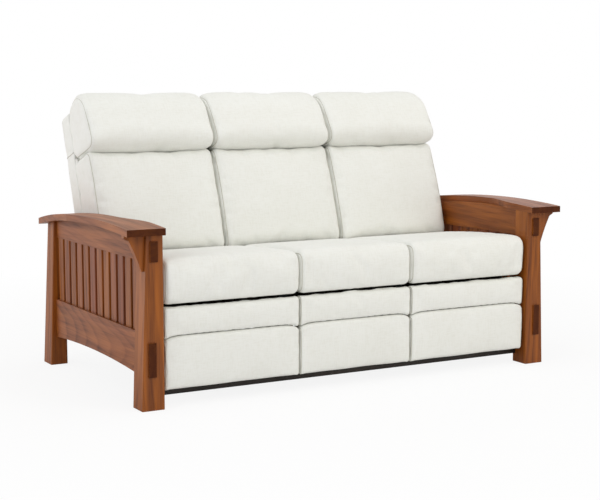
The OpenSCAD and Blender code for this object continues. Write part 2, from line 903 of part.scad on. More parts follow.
module footrest_pad(place) {
    color("#E8E8E2")
        placed()
            translate([seat_x(place), pad_front, footrest_z])
                pad(seat_w(place), pad_t, footrest_h, even(pad_round), pad_round,
                    belly = pad_belly, dent = pad_dent, top_dip = pad_dip);
}

module flipper_pad(place) {
    color("#E8E8E2")
        placed()
            translate([seat_x(place), pad_front, flipper_z])
                pad(seat_w(place), pad_t, flipper_h, even(pad_round), pad_round,
                    belly = pad_belly, dent = pad_dent, foot_dip = pad_dip);
}

module seat_cushion(place) {
    color("#E8E8E2")
        placed()
            translate([seat_x(place), seat_front, seat_z])
                pad(seat_w(place), seat_rear - seat_front, seat_h, even(seat_round), cushion_end_round,
                    fall = seat_fall, crown = seat_crown, belly = pad_belly, dent = seat_dent);
}

module seat_frame(place) {
    out = mech_half(place) + plate_in - joint_gap;
    y0 = seat_frame_y[0];
    y1 = seat_frame_y[1];
    room = 2 * (out - seat_frame_t) - 2 * brace_w;
    color("#C2A070")
        placed()
            translate([seat_x(place), 0, 0]) {
                for (side = [left, right])
                    sided(side) {
                        block([out - seat_frame_t, y0, seat_frame_z], [out, y1, seat_frame_top]);
                        block([room / 6, y0 + seat_frame_t + joint_gap, seat_frame_z + wire],
                              [room / 6 + brace_w, y1 - seat_frame_t - joint_gap, seat_frame_top - wire]);
                    }
                for (y = [y0, y1 - seat_frame_t])
                    block([-out + seat_frame_t + joint_gap, y, seat_frame_z],
                          [out - seat_frame_t - joint_gap, y + seat_frame_t, seat_frame_top]);
            }
}

// Sinuous springs: flat wire zigzags from the front rail to the rear rail of the seat frame
module spring_outline(run) {
    bends = floor(run / spring_pitch) * 2;
    step = run / bends;
    half = spring_w / 2;
    side_a = [for (i = [0 : bends]) [(i % 2 == 0 ? -half : half) - wire, i * step]];
    side_b = [for (i = [bends : -1 : 0]) [(i % 2 == 0 ? -half : half) + wire, i * step]];
    polygon(concat(side_a, side_b));
}

module seat_springs(place) {
    y0 = seat_frame_y[0] + seat_frame_t / 2;
    y1 = seat_frame_y[1] - seat_frame_t / 2;
    pitch = 2 * (mech_half(place) - seat_frame_t) / spring_count;
    color("#9A9DA0")
        placed()
            for (i = [0 : spring_count - 1])
                translate([seat_x(place) + (i - (spring_count - 1) / 2) * pitch, y0,
                           seat_frame_top + joint_gap])
                    linear_extrude(height = wire)
                        spring_outline(y1 - y0);
}

// Something drawn upright with its front face on Y = 0, laid onto a back
module on_back(x) {
    placed()
        translate([x, back_y, back_z])
            rotate([-back_tilt, 0, 0])
                children();
}

module back_cushion(place) {
    color("#E8E8E2")
        on_back(back_x(place))
            translate([0, frame_v - soft_gap - cushion_t, cushion_foot])
                pad(back_w(place), cushion_t, cushion_h,
                    [cushion_rear_round, cushion_round, cushion_round, cushion_rear_round],
                    cushion_end_round, belly = cushion_belly, dent = back_dent);
}

module headrest(place) {
    color("#E8E8E2")
        on_back(back_x(place))
            translate([0, frame_v - soft_gap - headrest_t, headrest_foot])
                pad(back_w(place), headrest_t, headrest_h,
                    [headrest_round, headrest_round, headrest_foot_round, cushion_rear_round],
                    cushion_end_round, crown = headrest_crown, dent = back_dent, lean = headrest_lean);
}

// Recline pivot's place on the back, along its thickness and its height
function onto_back(at) =
    let (y = at[0] - back_y, z = at[1] - back_z)
        [y * cos(back_tilt) - z * sin(back_tilt), y * sin(back_tilt) + z * cos(back_tilt)];

// Stiles, rails and slats of the back, with a steel hinge bracket on each side
module back_frame(place) {
    out = mech_half(place) + outer_link_in - joint_gap;
    low = back_frame_foot;
    v0 = frame_v;
    v1 = frame_v + back_frame_t;
    room = 2 * (out - stile_w) - 2 * brace_w;
    rail_h = 2 * stile_w;
    hinge = onto_back(recline_at);
    color("#C2A070")
        on_back(seat_x(place)) {
            for (side = [left, right])
                sided(side) {
                    block([out - stile_w, v0, low], [out, v1, back_frame_top]);
                    block([room / 6, v0 + wire, low + rail_h + joint_gap],
                          [room / 6 + brace_w, v1 - wire, back_frame_top - rail_h - joint_gap]);
                    translate([mech_half(place), 0, 0])
                        difference() {
                            across(outer_link_in, outer_link_out) {
                                translate(hinge)
                                    circle(r = recline_boss_r);
                                polygon([
                                    [v0, low], [v1, low], [v1, low + 3 * rail_h], [v0, low + 3 * rail_h],
                                    [v0, cushion_foot - link_r / 2], hinge + recline_boss_r * [0, 1],
                                    hinge - recline_boss_r * [0, 1]
                                ]);
                            }
                            bar(outer_link_in - overrun, outer_link_out + overrun, recline_hole_r, hinge);
                        }
                }
            for (z = [low, back_frame_top - rail_h])
                block([-out + stile_w + joint_gap, v0, z], [out - stile_w - joint_gap, v1, z + rail_h]);
        }
}

// Upholstered shell round the rear of the back: a panel with two sides and a top
module back_cover(place) {
    half = back_w(place) / 2;
    v0 = frame_v + joint_gap;
    v1 = v0 + cover_t;
    inner = frame_v + back_frame_t + soft_gap;
    color("#E8E8E2")
        on_back(back_x(place))
            difference() {
                translate([0, 0, cover_foot])
                    linear_extrude(height = cover_top - cover_foot)
                        cover_outline(half, v0, v1);
                block([-half + cover_wall, v0 - overrun, cover_foot - overrun],
                      [half - cover_wall, inner, cover_top - cover_wall]);
            }
}

// Rectangle with two round corners at the rear
module cover_outline(half, v0, v1) {
    translate([-half, v0])
        square([2 * half, v1 - v0 - cover_round]);
    translate([-half + cover_round, v0])
        square([2 * (half - cover_round), v1 - v0]);
    for (x = [-half + cover_round, half - cover_round])
        translate([x, v1 - cover_round])
            circle(r = cover_round);
}

front_post(left);  // left_front_post
rear_post(left);  // left_rear_post
lower_rail(left);  // left_lower_rail
upper_rail(left);  // left_upper_rail
slats(left);  // left_slats
arm_top(left);  // left_arm_top
corbel(left);  // left_corbel
front_post(right);  // right_front_post
rear_post(right);  // right_rear_post
lower_rail(right);  // right_lower_rail
upper_rail(right);  // right_upper_rail
slats(right);  // right_slats
arm_top(right);  // right_arm_top
corbel(right);  // right_corbel
front_base_rail();
rear_base_rail();
seat_tracks();
rail_bolts();
seat_frame(left);  // left_seat_frame
seat_springs(left);  // left_seat_springs
seat_cushion(left);  // left_seat_cushion
side_plates(left);  // left_side_plates
drive_links(left);  // left_drive_links
fore_links(left);  // left_fore_links
footrest_board(left);  // left_footrest_board
footrest_pad(left);  // left_footrest_pad
flipper_board(left);  // left_flipper_board
flipper_pad(left);  // left_flipper_pad
back_frame(left);  // left_back_frame
back_cushion(left);  // left_back_cushion
headrest(left);  // left_headrest
back_cover(left);  // left_back_cover
seat_frame(centre);  // centre_seat_frame
seat_springs(centre);  // centre_seat_springs
seat_cushion(centre);  // centre_seat_cushion
side_plates(centre);  // centre_side_plates
drive_links(centre);  // centre_drive_links
fore_links(centre);  // centre_fore_links
footrest_board(centre);  // centre_footrest_board
footrest_pad(centre);  // centre_footrest_pad
flipper_board(centre);  // centre_flipper_board
flipper_pad(centre);  // centre_flipper_pad
back_frame(centre);  // centre_back_frame
back_cushion(centre);  // centre_back_cushion
headrest(centre);  // centre_headrest
back_cover(centre);  // centre_back_cover
seat_frame(right);  // right_seat_frame
seat_springs(right);  // right_seat_springs
seat_cushion(right);  // right_seat_cushion
side_plates(right);  // right_side_plates
drive_links(right);  // right_drive_links
fore_links(right);  // right_fore_links
footrest_board(right);  // right_footrest_board
footrest_pad(right);  // right_footrest_pad
flipper_board(right);  // right_flipper_board
flipper_pad(right);  // right_flipper_pad
back_frame(right);  // right_back_frame
back_cushion(right);  // right_back_cushion
headrest(right);  // right_headrest
back_cover(right);  // right_back_cover
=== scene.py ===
"""Finishes, upholstery and studio of a three-seat mission reclining sofa.

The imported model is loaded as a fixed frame. Its wooden and steel pieces keep their shapes
and get their finishes here. Its cushions, pads and outside backs are made again as sewn and
stuffed fabric, with rolls and tails that close the gaps between them.
"""

import math
import random

import bpy
import numpy as np
from bpy.props import FloatProperty, FloatVectorProperty, IntProperty, PointerProperty
from bpy.types import Operator, Panel, PropertyGroup
from mathutils import Euler, Matrix, Vector


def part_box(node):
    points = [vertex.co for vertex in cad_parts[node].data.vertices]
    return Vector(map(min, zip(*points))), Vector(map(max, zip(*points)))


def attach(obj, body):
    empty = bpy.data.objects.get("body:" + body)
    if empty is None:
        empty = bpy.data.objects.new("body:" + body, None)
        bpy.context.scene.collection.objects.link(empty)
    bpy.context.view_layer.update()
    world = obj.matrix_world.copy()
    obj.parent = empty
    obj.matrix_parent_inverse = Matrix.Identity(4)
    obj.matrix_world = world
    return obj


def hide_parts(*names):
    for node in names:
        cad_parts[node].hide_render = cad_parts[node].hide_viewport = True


bl_info = {
    "name": "Mission Reclining Sofa",
    "version": (1, 0, 0),
    "blender": (4, 5, 0),
    "location": "View3D > Sidebar > Sofa",
    "description": "Dresses a slatted reclining sofa with its wood, steel and upholstery",
    "category": "Object",
}

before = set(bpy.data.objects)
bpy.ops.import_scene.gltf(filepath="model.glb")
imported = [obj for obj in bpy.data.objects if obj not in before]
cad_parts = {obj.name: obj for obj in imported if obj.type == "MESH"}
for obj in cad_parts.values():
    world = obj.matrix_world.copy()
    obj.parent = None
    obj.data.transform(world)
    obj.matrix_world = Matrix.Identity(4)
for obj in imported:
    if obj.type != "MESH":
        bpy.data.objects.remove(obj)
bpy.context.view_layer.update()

MM = 0.001
SEATS = ("left", "centre", "right")
SIDES = ("left", "right")
# The frame's origin is this far behind the front posts' front faces
POSTS_FRONT = 520 * MM
# Places of the factor, the two colours and the result on a colour mix node
MIX_FACTOR, MIX_A, MIX_B, MIX_RESULT = 0, 6, 7, 2
WHITE = (1.0, 1.0, 1.0, 1.0)


def linear(code):
    """Linear red, green, blue and full alpha of an sRGB hex colour."""
    shares = [int(code[i:i + 2], 16) / 255 for i in (1, 3, 5)]
    return tuple(
        s / 12.92 if s <= 0.04045 else ((s + 0.055) / 1.055) ** 2.4 for s in shares
    ) + (1.0,)


def length(name, mm, description):
    """A length that the user can change, given in millimetres."""
    return FloatProperty(
        name=name, description=description, default=mm * MM, unit="LENGTH", precision=4
    )


def colour(name, code, description):
    """A colour that the user can change, given as sRGB hex."""
    return FloatVectorProperty(
        name=name, description=description, default=linear(code), size=4, min=0, max=1,
        subtype="COLOR",
    )


class SofaWood(PropertyGroup):
    """Colours and grain of the wooden pieces."""

    light: colour("Latewood", "#A15A16", "Stained oak between its pore bands")
    dark: colour("Pore bands", "#4E2007", "Stained oak where the open pores hold the stain")
    rosy: colour("Rosy boards", "#8C4823", "Boards that took the stain redder")
    end: colour("End grain", "#3F1C0D", "Sawn ends, which drink the stain")
    base_light: colour("Base rail", "#2B231C", "Ebonised base rail between its pore bands")
    base_dark: colour("Base rail pores", "#17120E", "Pore bands of the base rail")
    # This pine and its latewood are darkened as painted shade: the hidden back frames show in the
    # gaps between the cushions, which should read dark
    pine: colour("Pine", "#5E4936", "Stained pine of the hidden back frames")
    pine_ring: colour("Pine latewood", "#453224", "Latewood lines of the pine")
    ply: colour("Birch plywood", "#CFB083", "Face veneer of the boards behind the pads")
    ply_edge: colour("Plywood glue lines", "#7A5634", "Dark lines between the plies")
    ring_width: length("Ring width", 22, "Between the oak's pore bands, wide enough to show")
    rounding: length("Eased edges", 1.8, "Radius that sanding leaves on the edges")
    slat_width: length("Slat width", 52, "Width of a slat")
    slat_count: IntProperty(name="Slats", description="Number of slats in a side", default=12)


class SofaCloth(PropertyGroup):
    """Colours, weave and sewing of the upholstery."""

    ivory: colour("Ivory yarn", "#EFF0EB", "Main yarn of the upholstery")
    oatmeal: colour("Oatmeal yarn", "#DCDBD0", "Darker yarn flecked through the weave")
    # The cord's colour is darker than the cloth as painted shade, standing in for the shadow in the
    # seams
    thread: colour("Seam cord", "#C2C0B4", "Cord and thread of the seams")
    weave: length("Weave", 3.2, "Spacing of the threads, drawn coarser than life")
    cord: length("Seam cord radius", 1.8, "Radius of the cord sewn into the seams")
    roll: length("Roll radius", 13, "Radius of the stuffed rolls under the headrests")
    grid: length("Mesh spacing", 15, "Spacing of the cloth's points before it is subdivided")
    frames: IntProperty(
        name="Stuffing steps", description="Frames that the cloth is inflated for", default=16
    )


class SofaSteel(PropertyGroup):
    """Colours of the metal parts."""

    zinc: colour("Zinc plate", "#A9ACAE", "Plated links, bolts and tracks")
    sheet: colour("Black oxide", "#4B4D50", "Oiled side plates")
    spring: colour("Spring wire", "#77736C", "Oil tempered spring wire")


class SofaCushions(PropertyGroup):
    """Sizes of the cushions, pads and outside backs."""

    seat_front: length("Seat front", 12, "Front of the seat cushions, behind the posts' fronts")
    seat_depth: length("Seat depth", 588, "Depth of the seat cushions")
    seat_foot: length("Seat underside", 375, "Height of the seat cushions' undersides")
    seat_height: length("Seat thickness", 160, "Thickness of the seat cushions at the front")
    seat_fall: length("Seat fall", 44, "How much lower the seats are at the rear")
    pad_front: length("Pad front", 16, "Front of the footrest pads, behind the posts' front faces")
    pad_depth: length("Pad thickness", 40, "Thickness of the footrest pads")
    footrest_foot: length("Footrest underside", 62, "Height of the footrest pads' undersides")
    footrest_height: length("Footrest height", 197, "Height of the footrest pads")
    flipper_foot: length("Flipper underside", 262, "Height of the flipper pads' undersides")
    flipper_height: length("Flipper height", 104, "Height of the flipper pads")
    seam_dip: length("Seam dip", 16, "How far the seam between the pads dips at its ends")
    back_y: length("Back foot", 592, "Foot of the backs' front faces, behind the posts' fronts")
    back_z: length("Back foot height", 470, "Foot of the backs' front faces, above the floor")
    back_tilt: FloatProperty(
        name="Back tilt", description="Lean of the backs", default=math.radians(19), subtype="ANGLE"
    )
    back_rear: length("Back rear face", 130, "Rear of the back cushions, behind their front plane")
    back_depth: length("Back thickness", 152, "Thickness of the back cushions")
    back_foot: length("Back cushion foot", 20, "Foot of the back cushions, along the back")
    back_height: length("Back cushion height", 429, "Height of the back cushions")
    headrest_foot: length("Headrest foot", 451, "Foot of the headrests, along the back")
    headrest_height: length("Headrest height", 232, "Height of the headrests")
    headrest_depth: length("Headrest thickness", 186, "Thickness of the headrests")
    headrest_lean: length("Headrest lean", 60, "How far the headrests' fronts lean back")
    cover_front: length("Outside back front edge", 130.6, "Front edges of the outside backs' sides")
    cover_depth: length("Outside back depth", 98, "Depth of the outside backs' sides")
    cover_foot: length("Outside back foot", -110, "Foot of the outside backs, along the back")
    cover_top: length("Outside back top", 660, "Top of the outside backs, along the back")
    cover_wall: length("Outside back thickness", 11, "Thickness of the padded outside backs")
    yoke: length("Yoke seam", 485, "Place of the cross seam, along the back")


class SofaStudio(PropertyGroup):
    """Camera and lights."""

    lens: FloatProperty(name="Lens", description="Focal length in millimetres", default=83.3)
    camera_place: FloatVectorProperty(
        name="Camera", description="Place of the camera", default=(-2.819, -5.021, 1.174),
        subtype="TRANSLATION",
    )
    camera_pitch: FloatProperty(
        name="Camera pitch", description="Downward tilt", default=math.radians(6.92),
        subtype="ANGLE",
    )
    camera_turn: FloatProperty(
        name="Camera turn", description="Turn to the right", default=math.radians(29.59),
        subtype="ANGLE",
    )
    key: FloatProperty(name="Key light", description="Power of the key light in watts", default=80)
    fill: FloatProperty(name="Fill light", description="Power of the fill in watts", default=44)
    top: FloatProperty(name="Top light", description="Power of the top light in watts", default=32)
    panel: FloatProperty(name="Side panel", description="Power of the panel in watts", default=55)
    room: FloatProperty(name="Room light", description="Strength of the even light", default=0.55)
    floor: colour("Floor", "#F2F2F2", "Plain pale floor")


def node(tree, kind, inputs=None, stops=None, **settings):
    """Adds a shader node, with its settings, its sockets' values or links, and its ramp stops."""
    made = tree.nodes.new(kind)
    for name, value in settings.items():
        setattr(made, name, value)
    for socket, value in (inputs or {}).items():
        if isinstance(value, bpy.types.NodeSocket):
            tree.links.new(value, made.inputs[socket])
        else:
            made.inputs[socket].default_value = value
    for i, (place, shade) in enumerate(stops or ()):
        elements = made.color_ramp.elements
        element = elements[i] if i < 2 else elements.new(place)
        element.position, element.color = place, shade if len(shade) == 4 else (*shade, 1.0)
    return made


def grey(value):
    """A ramp colour of one grey value."""
    return (value, value, value, 1.0)


def blank(name):
    """A new material with an empty tree, and its output node."""
    material = bpy.data.materials.new(name)
    material.use_nodes = True
    material.node_tree.nodes.clear()
    return material, material.node_tree, node(material.node_tree, "ShaderNodeOutputMaterial")


def finish_surface(tree, output, shader, normal=None):
    """Links a shader to its material's output."""
    if normal is not None:
        tree.links.new(normal, shader.inputs["Normal"])
    tree.links.new(shader.outputs[0], output.inputs["Surface"])


# How a board's coordinates turn so that its grain runs along Z, and the grain's direction
GRAIN_TURN = {"X": (0.0, -math.pi / 2, 0.0), "Y": (math.pi / 2, 0.0, 0.0), "Z": (0.0, 0.0, 0.0)}
GRAIN_AXIS = {"X": (1.0, 0.0, 0.0), "Y": (0.0, 1.0, 0.0), "Z": (0.0, 0.0, 1.0)}
# Most that a board is sawn out of line with its log, in radians
SAW_SLANT = 0.022
# Patterns in the log, in cells per metre: two figures across it and one along it
WANDER_CELLS = (7.0, 7.0, 1.1)
FIBRE_CELLS = (190.0, 190.0, 5.0)
STREAK_CELLS = (34.0, 34.0, 2.4)
# How far the trunk wanders, and how far apart two slats' logs lie, in metres
WANDER, LOG_STEP = (0.028, 0.028, 0.3), (0.11, 0.05, 3.0)
# Darkness across one ring, from its pore band to the next
RING_TONES = ((0.0, 1.0), (0.12, 0.7), (0.45, 0.25), (0.85, 0.05), (1.0, 0.8))
# Most that rings, streaks and pores add of the dark colour
RING_SHARE, STREAK_SHARE, PORE_SHARE = 0.42, 0.5, 0.24
# Most that a sawn end takes of its own colour, and a rubbed edge of the light one
END_SHARE, RUBBED_SHARE = 0.85, 0.22


def sawn_wood(name, piece, grain, seed, colours, ring_width, roughness, coat,
              other_share=0.5, boards=None, taper=0.03):
    """Ring porous hardwood or pine, sawn, sanded and stained: the log's rings are cut by
    the board, so faces show faint cathedrals or straight lines as the saw would, with broad
    streaks where the stain took, fibres, a redder board here and there, dark sawn ends and
    a satin topcoat. The colours are the light and dark one, the light one of other boards
    and the end grain's; boards gives the start and the pitch of a row of slats."""
    light, dark, other, end = colours
    draw = random.Random(seed)
    material, tree, output = blank(name)
    low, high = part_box(piece)
    centre = (low + high) / 2
    turn = Euler([a + draw.uniform(-SAW_SLANT, SAW_SLANT) for a in GRAIN_TURN[grain]])
    angle = draw.uniform(0, 2 * math.pi)
    pith = draw.uniform(55, 120) * MM
    place = Vector((math.cos(angle) * pith, math.sin(angle) * pith, draw.uniform(0, 2)))
    place -= turn.to_matrix() @ centre
    coordinates = node(tree, "ShaderNodeTexCoord")
    board = coordinates.outputs["Object"]
    if boards:
        # Each slat is its own board: its number shifts the log and picks its tone
        start, pitch = boards
        split = node(tree, "ShaderNodeSeparateXYZ", {0: board})
        counted = node(tree, "ShaderNodeMath",
                       {0: split.outputs["Y"], 1: 1 / pitch, 2: -start / pitch},
                       operation="MULTIPLY_ADD")
        number = node(tree, "ShaderNodeMath", {0: counted.outputs[0]}, operation="FLOOR")
        jump = node(tree, "ShaderNodeTexWhiteNoise", {"W": number.outputs[0]},
                    noise_dimensions="1D")
        board = node(tree, "ShaderNodeVectorMath",
                     {0: jump.outputs["Color"], 1: LOG_STEP, 2: board},
                     operation="MULTIPLY_ADD").outputs[0]
    log = node(tree, "ShaderNodeMapping",
               {"Vector": board, "Rotation": turn, "Location": place}).outputs[0]
    # The trunk wanders by about 9 mm, and tapers unevenly, over some 150 mm across and a
    # metre along
    slow = node(tree, "ShaderNodeVectorMath", {0: log, 1: WANDER_CELLS}, operation="MULTIPLY")
    sway = node(tree, "ShaderNodeTexNoise",
                {"Vector": slow.outputs[0], "Scale": 1.0, "Detail": 2.0})
    swayed = node(tree, "ShaderNodeVectorMath", {0: sway.outputs["Color"], 1: WANDER, 2: log},
                  operation="MULTIPLY_ADD").outputs[0]
    flat = node(tree, "ShaderNodeVectorMath", {0: swayed, 1: (1.0, 1.0, 0.0)},
                operation="MULTIPLY")
    radius = node(tree, "ShaderNodeVectorMath", {0: flat.outputs[0]}, operation="LENGTH")
    depth = node(tree, "ShaderNodeSeparateXYZ", {0: swayed})
    slope = draw.choice((-1, 1)) * draw.uniform(0.7, 1.4) * taper
    cone = node(tree, "ShaderNodeMath",
                {0: depth.outputs["Z"], 1: slope, 2: radius.outputs["Value"]},
                operation="MULTIPLY_ADD")
    rings = node(tree, "ShaderNodeMath", {0: cone.outputs[0], 1: 1 / ring_width},
                 operation="MULTIPLY")
    ring = node(tree, "ShaderNodeMath", {0: rings.outputs[0]}, operation="FRACT")
    band = node(tree, "ShaderNodeValToRGB", {"Fac": ring.outputs[0]},
                [(at, grey(value)) for at, value in RING_TONES])
    # Fibres and pores, drawn about 3 mm wide where real ones are a tenth of that
    thin = node(tree, "ShaderNodeVectorMath", {0: swayed, 1: FIBRE_CELLS}, operation="MULTIPLY")
    fibre = node(tree, "ShaderNodeTexNoise",
                 {"Vector": thin.outputs[0], "Scale": 1.0, "Detail": 3.0})
    pore = node(tree, "ShaderNodeMapRange",
                {"Value": fibre.outputs[0], "From Min": 0.5, "From Max": 0.68})
    # Streaks of about 30 mm by half a metre, where the board drank more or less stain
    long = node(tree, "ShaderNodeVectorMath", {0: swayed, 1: STREAK_CELLS}, operation="MULTIPLY")
    stain = node(tree, "ShaderNodeTexNoise",
                 {"Vector": long.outputs[0], "Scale": 1.0, "Detail": 2.0})
    streak = node(tree, "ShaderNodeMapRange",
                  {"Value": stain.outputs[0], "From Min": 0.36, "From Max": 0.66})
    patch = node(tree, "ShaderNodeMapRange",
                 {"Value": sway.outputs[0], "From Min": 0.35, "From Max": 0.65,
                  "To Min": RING_SHARE * 0.35, "To Max": RING_SHARE})
    ringed = node(tree, "ShaderNodeMath", {0: band.outputs[0], 1: patch.outputs[0]},
                  operation="MULTIPLY")
    streaked = node(tree, "ShaderNodeMath",
                    {0: streak.outputs[0], 1: STREAK_SHARE, 2: ringed.outputs[0]},
                    operation="MULTIPLY_ADD")
    shade = node(tree, "ShaderNodeMath",
                 {0: pore.outputs[0], 1: PORE_SHARE, 2: streaked.outputs[0]},
                 operation="MULTIPLY_ADD", use_clamp=True)
    if boards:
        tone = node(tree, "ShaderNodeMath", {0: jump.outputs["Value"], 1: 0.75},
                    operation="MULTIPLY")
    else:
        tone = node(tree, "ShaderNodeTexNoise",
                    {"Vector": slow.outputs[0], "Scale": 1.9, "Detail": 1.0})
    redder = node(tree, "ShaderNodeMapRange",
                  {"Value": tone.outputs[0], "From Min": 0.3, "From Max": 0.7,
                   "To Max": other_share})
    pale = node(tree, "ShaderNodeMix",
                {MIX_FACTOR: redder.outputs[0], MIX_A: light, MIX_B: other}, data_type="RGBA")
    figured = node(tree, "ShaderNodeMix",
                   {MIX_FACTOR: shade.outputs[0], MIX_A: pale.outputs[MIX_RESULT], MIX_B: dark},
                   data_type="RGBA")
    # Sawn ends are found by the face's own direction on the board
    facing = node(tree, "ShaderNodeVectorMath",
                  {0: coordinates.outputs["Normal"], 1: GRAIN_AXIS[grain]},
                  operation="DOT_PRODUCT")
    straight = node(tree, "ShaderNodeMath", {0: facing.outputs["Value"]}, operation="ABSOLUTE")
    cut = node(tree, "ShaderNodeMapRange",
               {"Value": straight.outputs[0], "From Min": 0.72, "From Max": 0.9,
                "To Max": END_SHARE})
    stained = node(tree, "ShaderNodeMix",
                   {MIX_FACTOR: cut.outputs[0], MIX_A: figured.outputs[MIX_RESULT], MIX_B: end},
                   data_type="RGBA")
    eased = node(tree, "ShaderNodeBevel",
                 {"Radius": bpy.context.scene.sofa_wood.rounding}, samples=4)
    # Edges rubbed a little paler, where the eased normal leaves the flat one
    plain = node(tree, "ShaderNodeNewGeometry")
    away = node(tree, "ShaderNodeVectorMath", {0: eased.outputs[0], 1: plain.outputs["Normal"]},
                operation="DOT_PRODUCT")
    rubbed = node(tree, "ShaderNodeMapRange",
                  {"Value": away.outputs["Value"], "From Min": 0.995, "From Max": 0.8,
                   "To Max": RUBBED_SHARE})
    worn = node(tree, "ShaderNodeMix",
                {MIX_FACTOR: rubbed.outputs[0], MIX_A: stained.outputs[MIX_RESULT],
                 MIX_B: light}, data_type="RGBA")
    relief = node(tree, "ShaderNodeBump",
                  {"Height": shade.outputs[0], "Strength": 0.5, "Distance": -0.25 * MM,
                   "Normal": eased.outputs[0]})
    dull = node(tree, "ShaderNodeMapRange",
                {"Value": shade.outputs[0], "To Min": roughness, "To Max": roughness + 0.14})
    # The ends soak up the topcoat and shine less
    shine = node(tree, "ShaderNodeMapRange",
                 {"Value": cut.outputs[0], "From Max": END_SHARE, "To Min": 0.28,
                  "To Max": 0.1})
    coated = node(tree, "ShaderNodeMapRange",
                  {"Value": cut.outputs[0], "From Max": END_SHARE, "To Min": coat,
                   "To Max": 0.0})
    shader = node(tree, "ShaderNodeBsdfPrincipled", {
        "Base Color": worn.outputs[MIX_RESULT], "Roughness": dull.outputs[0], "IOR": 1.5,
        "Specular IOR Level": shine.outputs[0], "Coat Weight": coated.outputs[0],
        "Coat Roughness": 0.28, "Coat IOR": 1.5,
    })
    finish_surface(tree, output, shader, relief.outputs[0])
    return material


def birch_plywood(name):
    """Rotary cut birch plywood, sanded and unfinished: broad pale veneer, and glue lines
    along the edges."""
    wood = bpy.context.scene.sofa_wood
    material, tree, output = blank(name)
    coordinates = node(tree, "ShaderNodeTexCoord")
    # The veneer's figure, about 330 mm by 80 mm by 40 mm
    stretched = node(tree, "ShaderNodeVectorMath",
                     {0: coordinates.outputs["Object"], 1: (3.0, 12.0, 26.0)},
                     operation="MULTIPLY")
    veneer = node(tree, "ShaderNodeTexNoise",
                  {"Vector": stretched.outputs[0], "Scale": 1.0, "Detail": 4.0,
                   "Distortion": 0.8})
    faced = node(tree, "ShaderNodeMapRange",
                 {"Value": veneer.outputs[0], "From Min": 0.4, "From Max": 0.62, "To Max": 0.3})
    split = node(tree, "ShaderNodeSeparateXYZ", {0: coordinates.outputs["Object"]})
    # Plies of 2.4 mm across the board's thickness
    plies = node(tree, "ShaderNodeMath", {0: split.outputs["Y"], 1: 1 / (2.4 * MM)},
                 operation="MULTIPLY")
    ply = node(tree, "ShaderNodeMath", {0: plies.outputs[0], 1: 1.0}, operation="PINGPONG")
    aside = node(tree, "ShaderNodeVectorMath",
                 {0: coordinates.outputs["Normal"], 1: GRAIN_AXIS["Y"]},
                 operation="DOT_PRODUCT")
    flat = node(tree, "ShaderNodeMath", {0: aside.outputs["Value"]}, operation="ABSOLUTE")
    edge = node(tree, "ShaderNodeMath", {0: flat.outputs[0], 1: 0.5}, operation="LESS_THAN")
    line = node(tree, "ShaderNodeMath",
                {0: ply.outputs[0], 1: edge.outputs[0], 2: faced.outputs[0]},
                operation="MULTIPLY_ADD", use_clamp=True)
    tint = node(tree, "ShaderNodeMix",
                {MIX_FACTOR: line.outputs[0], MIX_A: wood.ply, MIX_B: wood.ply_edge},
                data_type="RGBA")
    relief = node(tree, "ShaderNodeBump",
                  {"Height": veneer.outputs[0], "Strength": 0.3, "Distance": 0.2 * MM})
    shader = node(tree, "ShaderNodeBsdfPrincipled", {
        "Base Color": tint.outputs[MIX_RESULT], "Roughness": 0.62, "IOR": 1.5,
    })
    finish_surface(tree, output, shader, relief.outputs[0])
    return material


def worked_steel(name, tint, roughness, blotches):
    """Sheet, bar or wire steel with its plating or oil: soft blotches in the gloss, so many
    to a metre, rolling lines along its length and slightly eased edges."""
    material, tree, output = blank(name)
    coordinates = node(tree, "ShaderNodeTexCoord").outputs["Object"]
    cloudy = node(tree, "ShaderNodeTexNoise",
                  {"Vector": coordinates, "Scale": blotches, "Detail": 4.0})
    # Rolling lines of about 1 mm by 55 mm
    rolled = node(tree, "ShaderNodeVectorMath", {0: coordinates, 1: (900.0, 18.0, 900.0)},
                  operation="MULTIPLY")
    lines = node(tree, "ShaderNodeTexNoise",
                 {"Vector": rolled.outputs[0], "Scale": 1.0, "Detail": 2.0})
    gloss = node(tree, "ShaderNodeMapRange",
                 {"Value": cloudy.outputs[0], "From Min": 0.3, "From Max": 0.7,
                  "To Min": roughness - 0.08, "To Max": roughness + 0.12})
    darker = node(tree, "ShaderNodeMapRange",
                  {"Value": cloudy.outputs[0], "From Min": 0.35, "From Max": 0.75,
                   "To Max": 0.35})
    shaded = tuple(c * 0.55 for c in tint[:3]) + (1.0,)
    dirty = node(tree, "ShaderNodeMix",
                 {MIX_FACTOR: darker.outputs[0], MIX_A: tint, MIX_B: shaded},
                 data_type="RGBA")
    eased = node(tree, "ShaderNodeBevel", {"Radius": 0.4 * MM}, samples=4)
    relief = node(tree, "ShaderNodeBump",
                  {"Height": lines.outputs[0], "Strength": 0.15, "Distance": 0.05 * MM,
                   "Normal": eased.outputs[0]})
    shader = node(tree, "ShaderNodeBsdfPrincipled", {
        "Base Color": dirty.outputs[MIX_RESULT], "Metallic": 1.0, "Roughness": gloss.outputs[0],
    })
    finish_surface(tree, output, shader, relief.outputs[0])
    return material


# Yarn flecks in cells per metre, across a thread and along it: about 4 by 30 mm, wider than
# life so that they show
FLECK_ACROSS, FLECK_ALONG = 240.0, 34.0


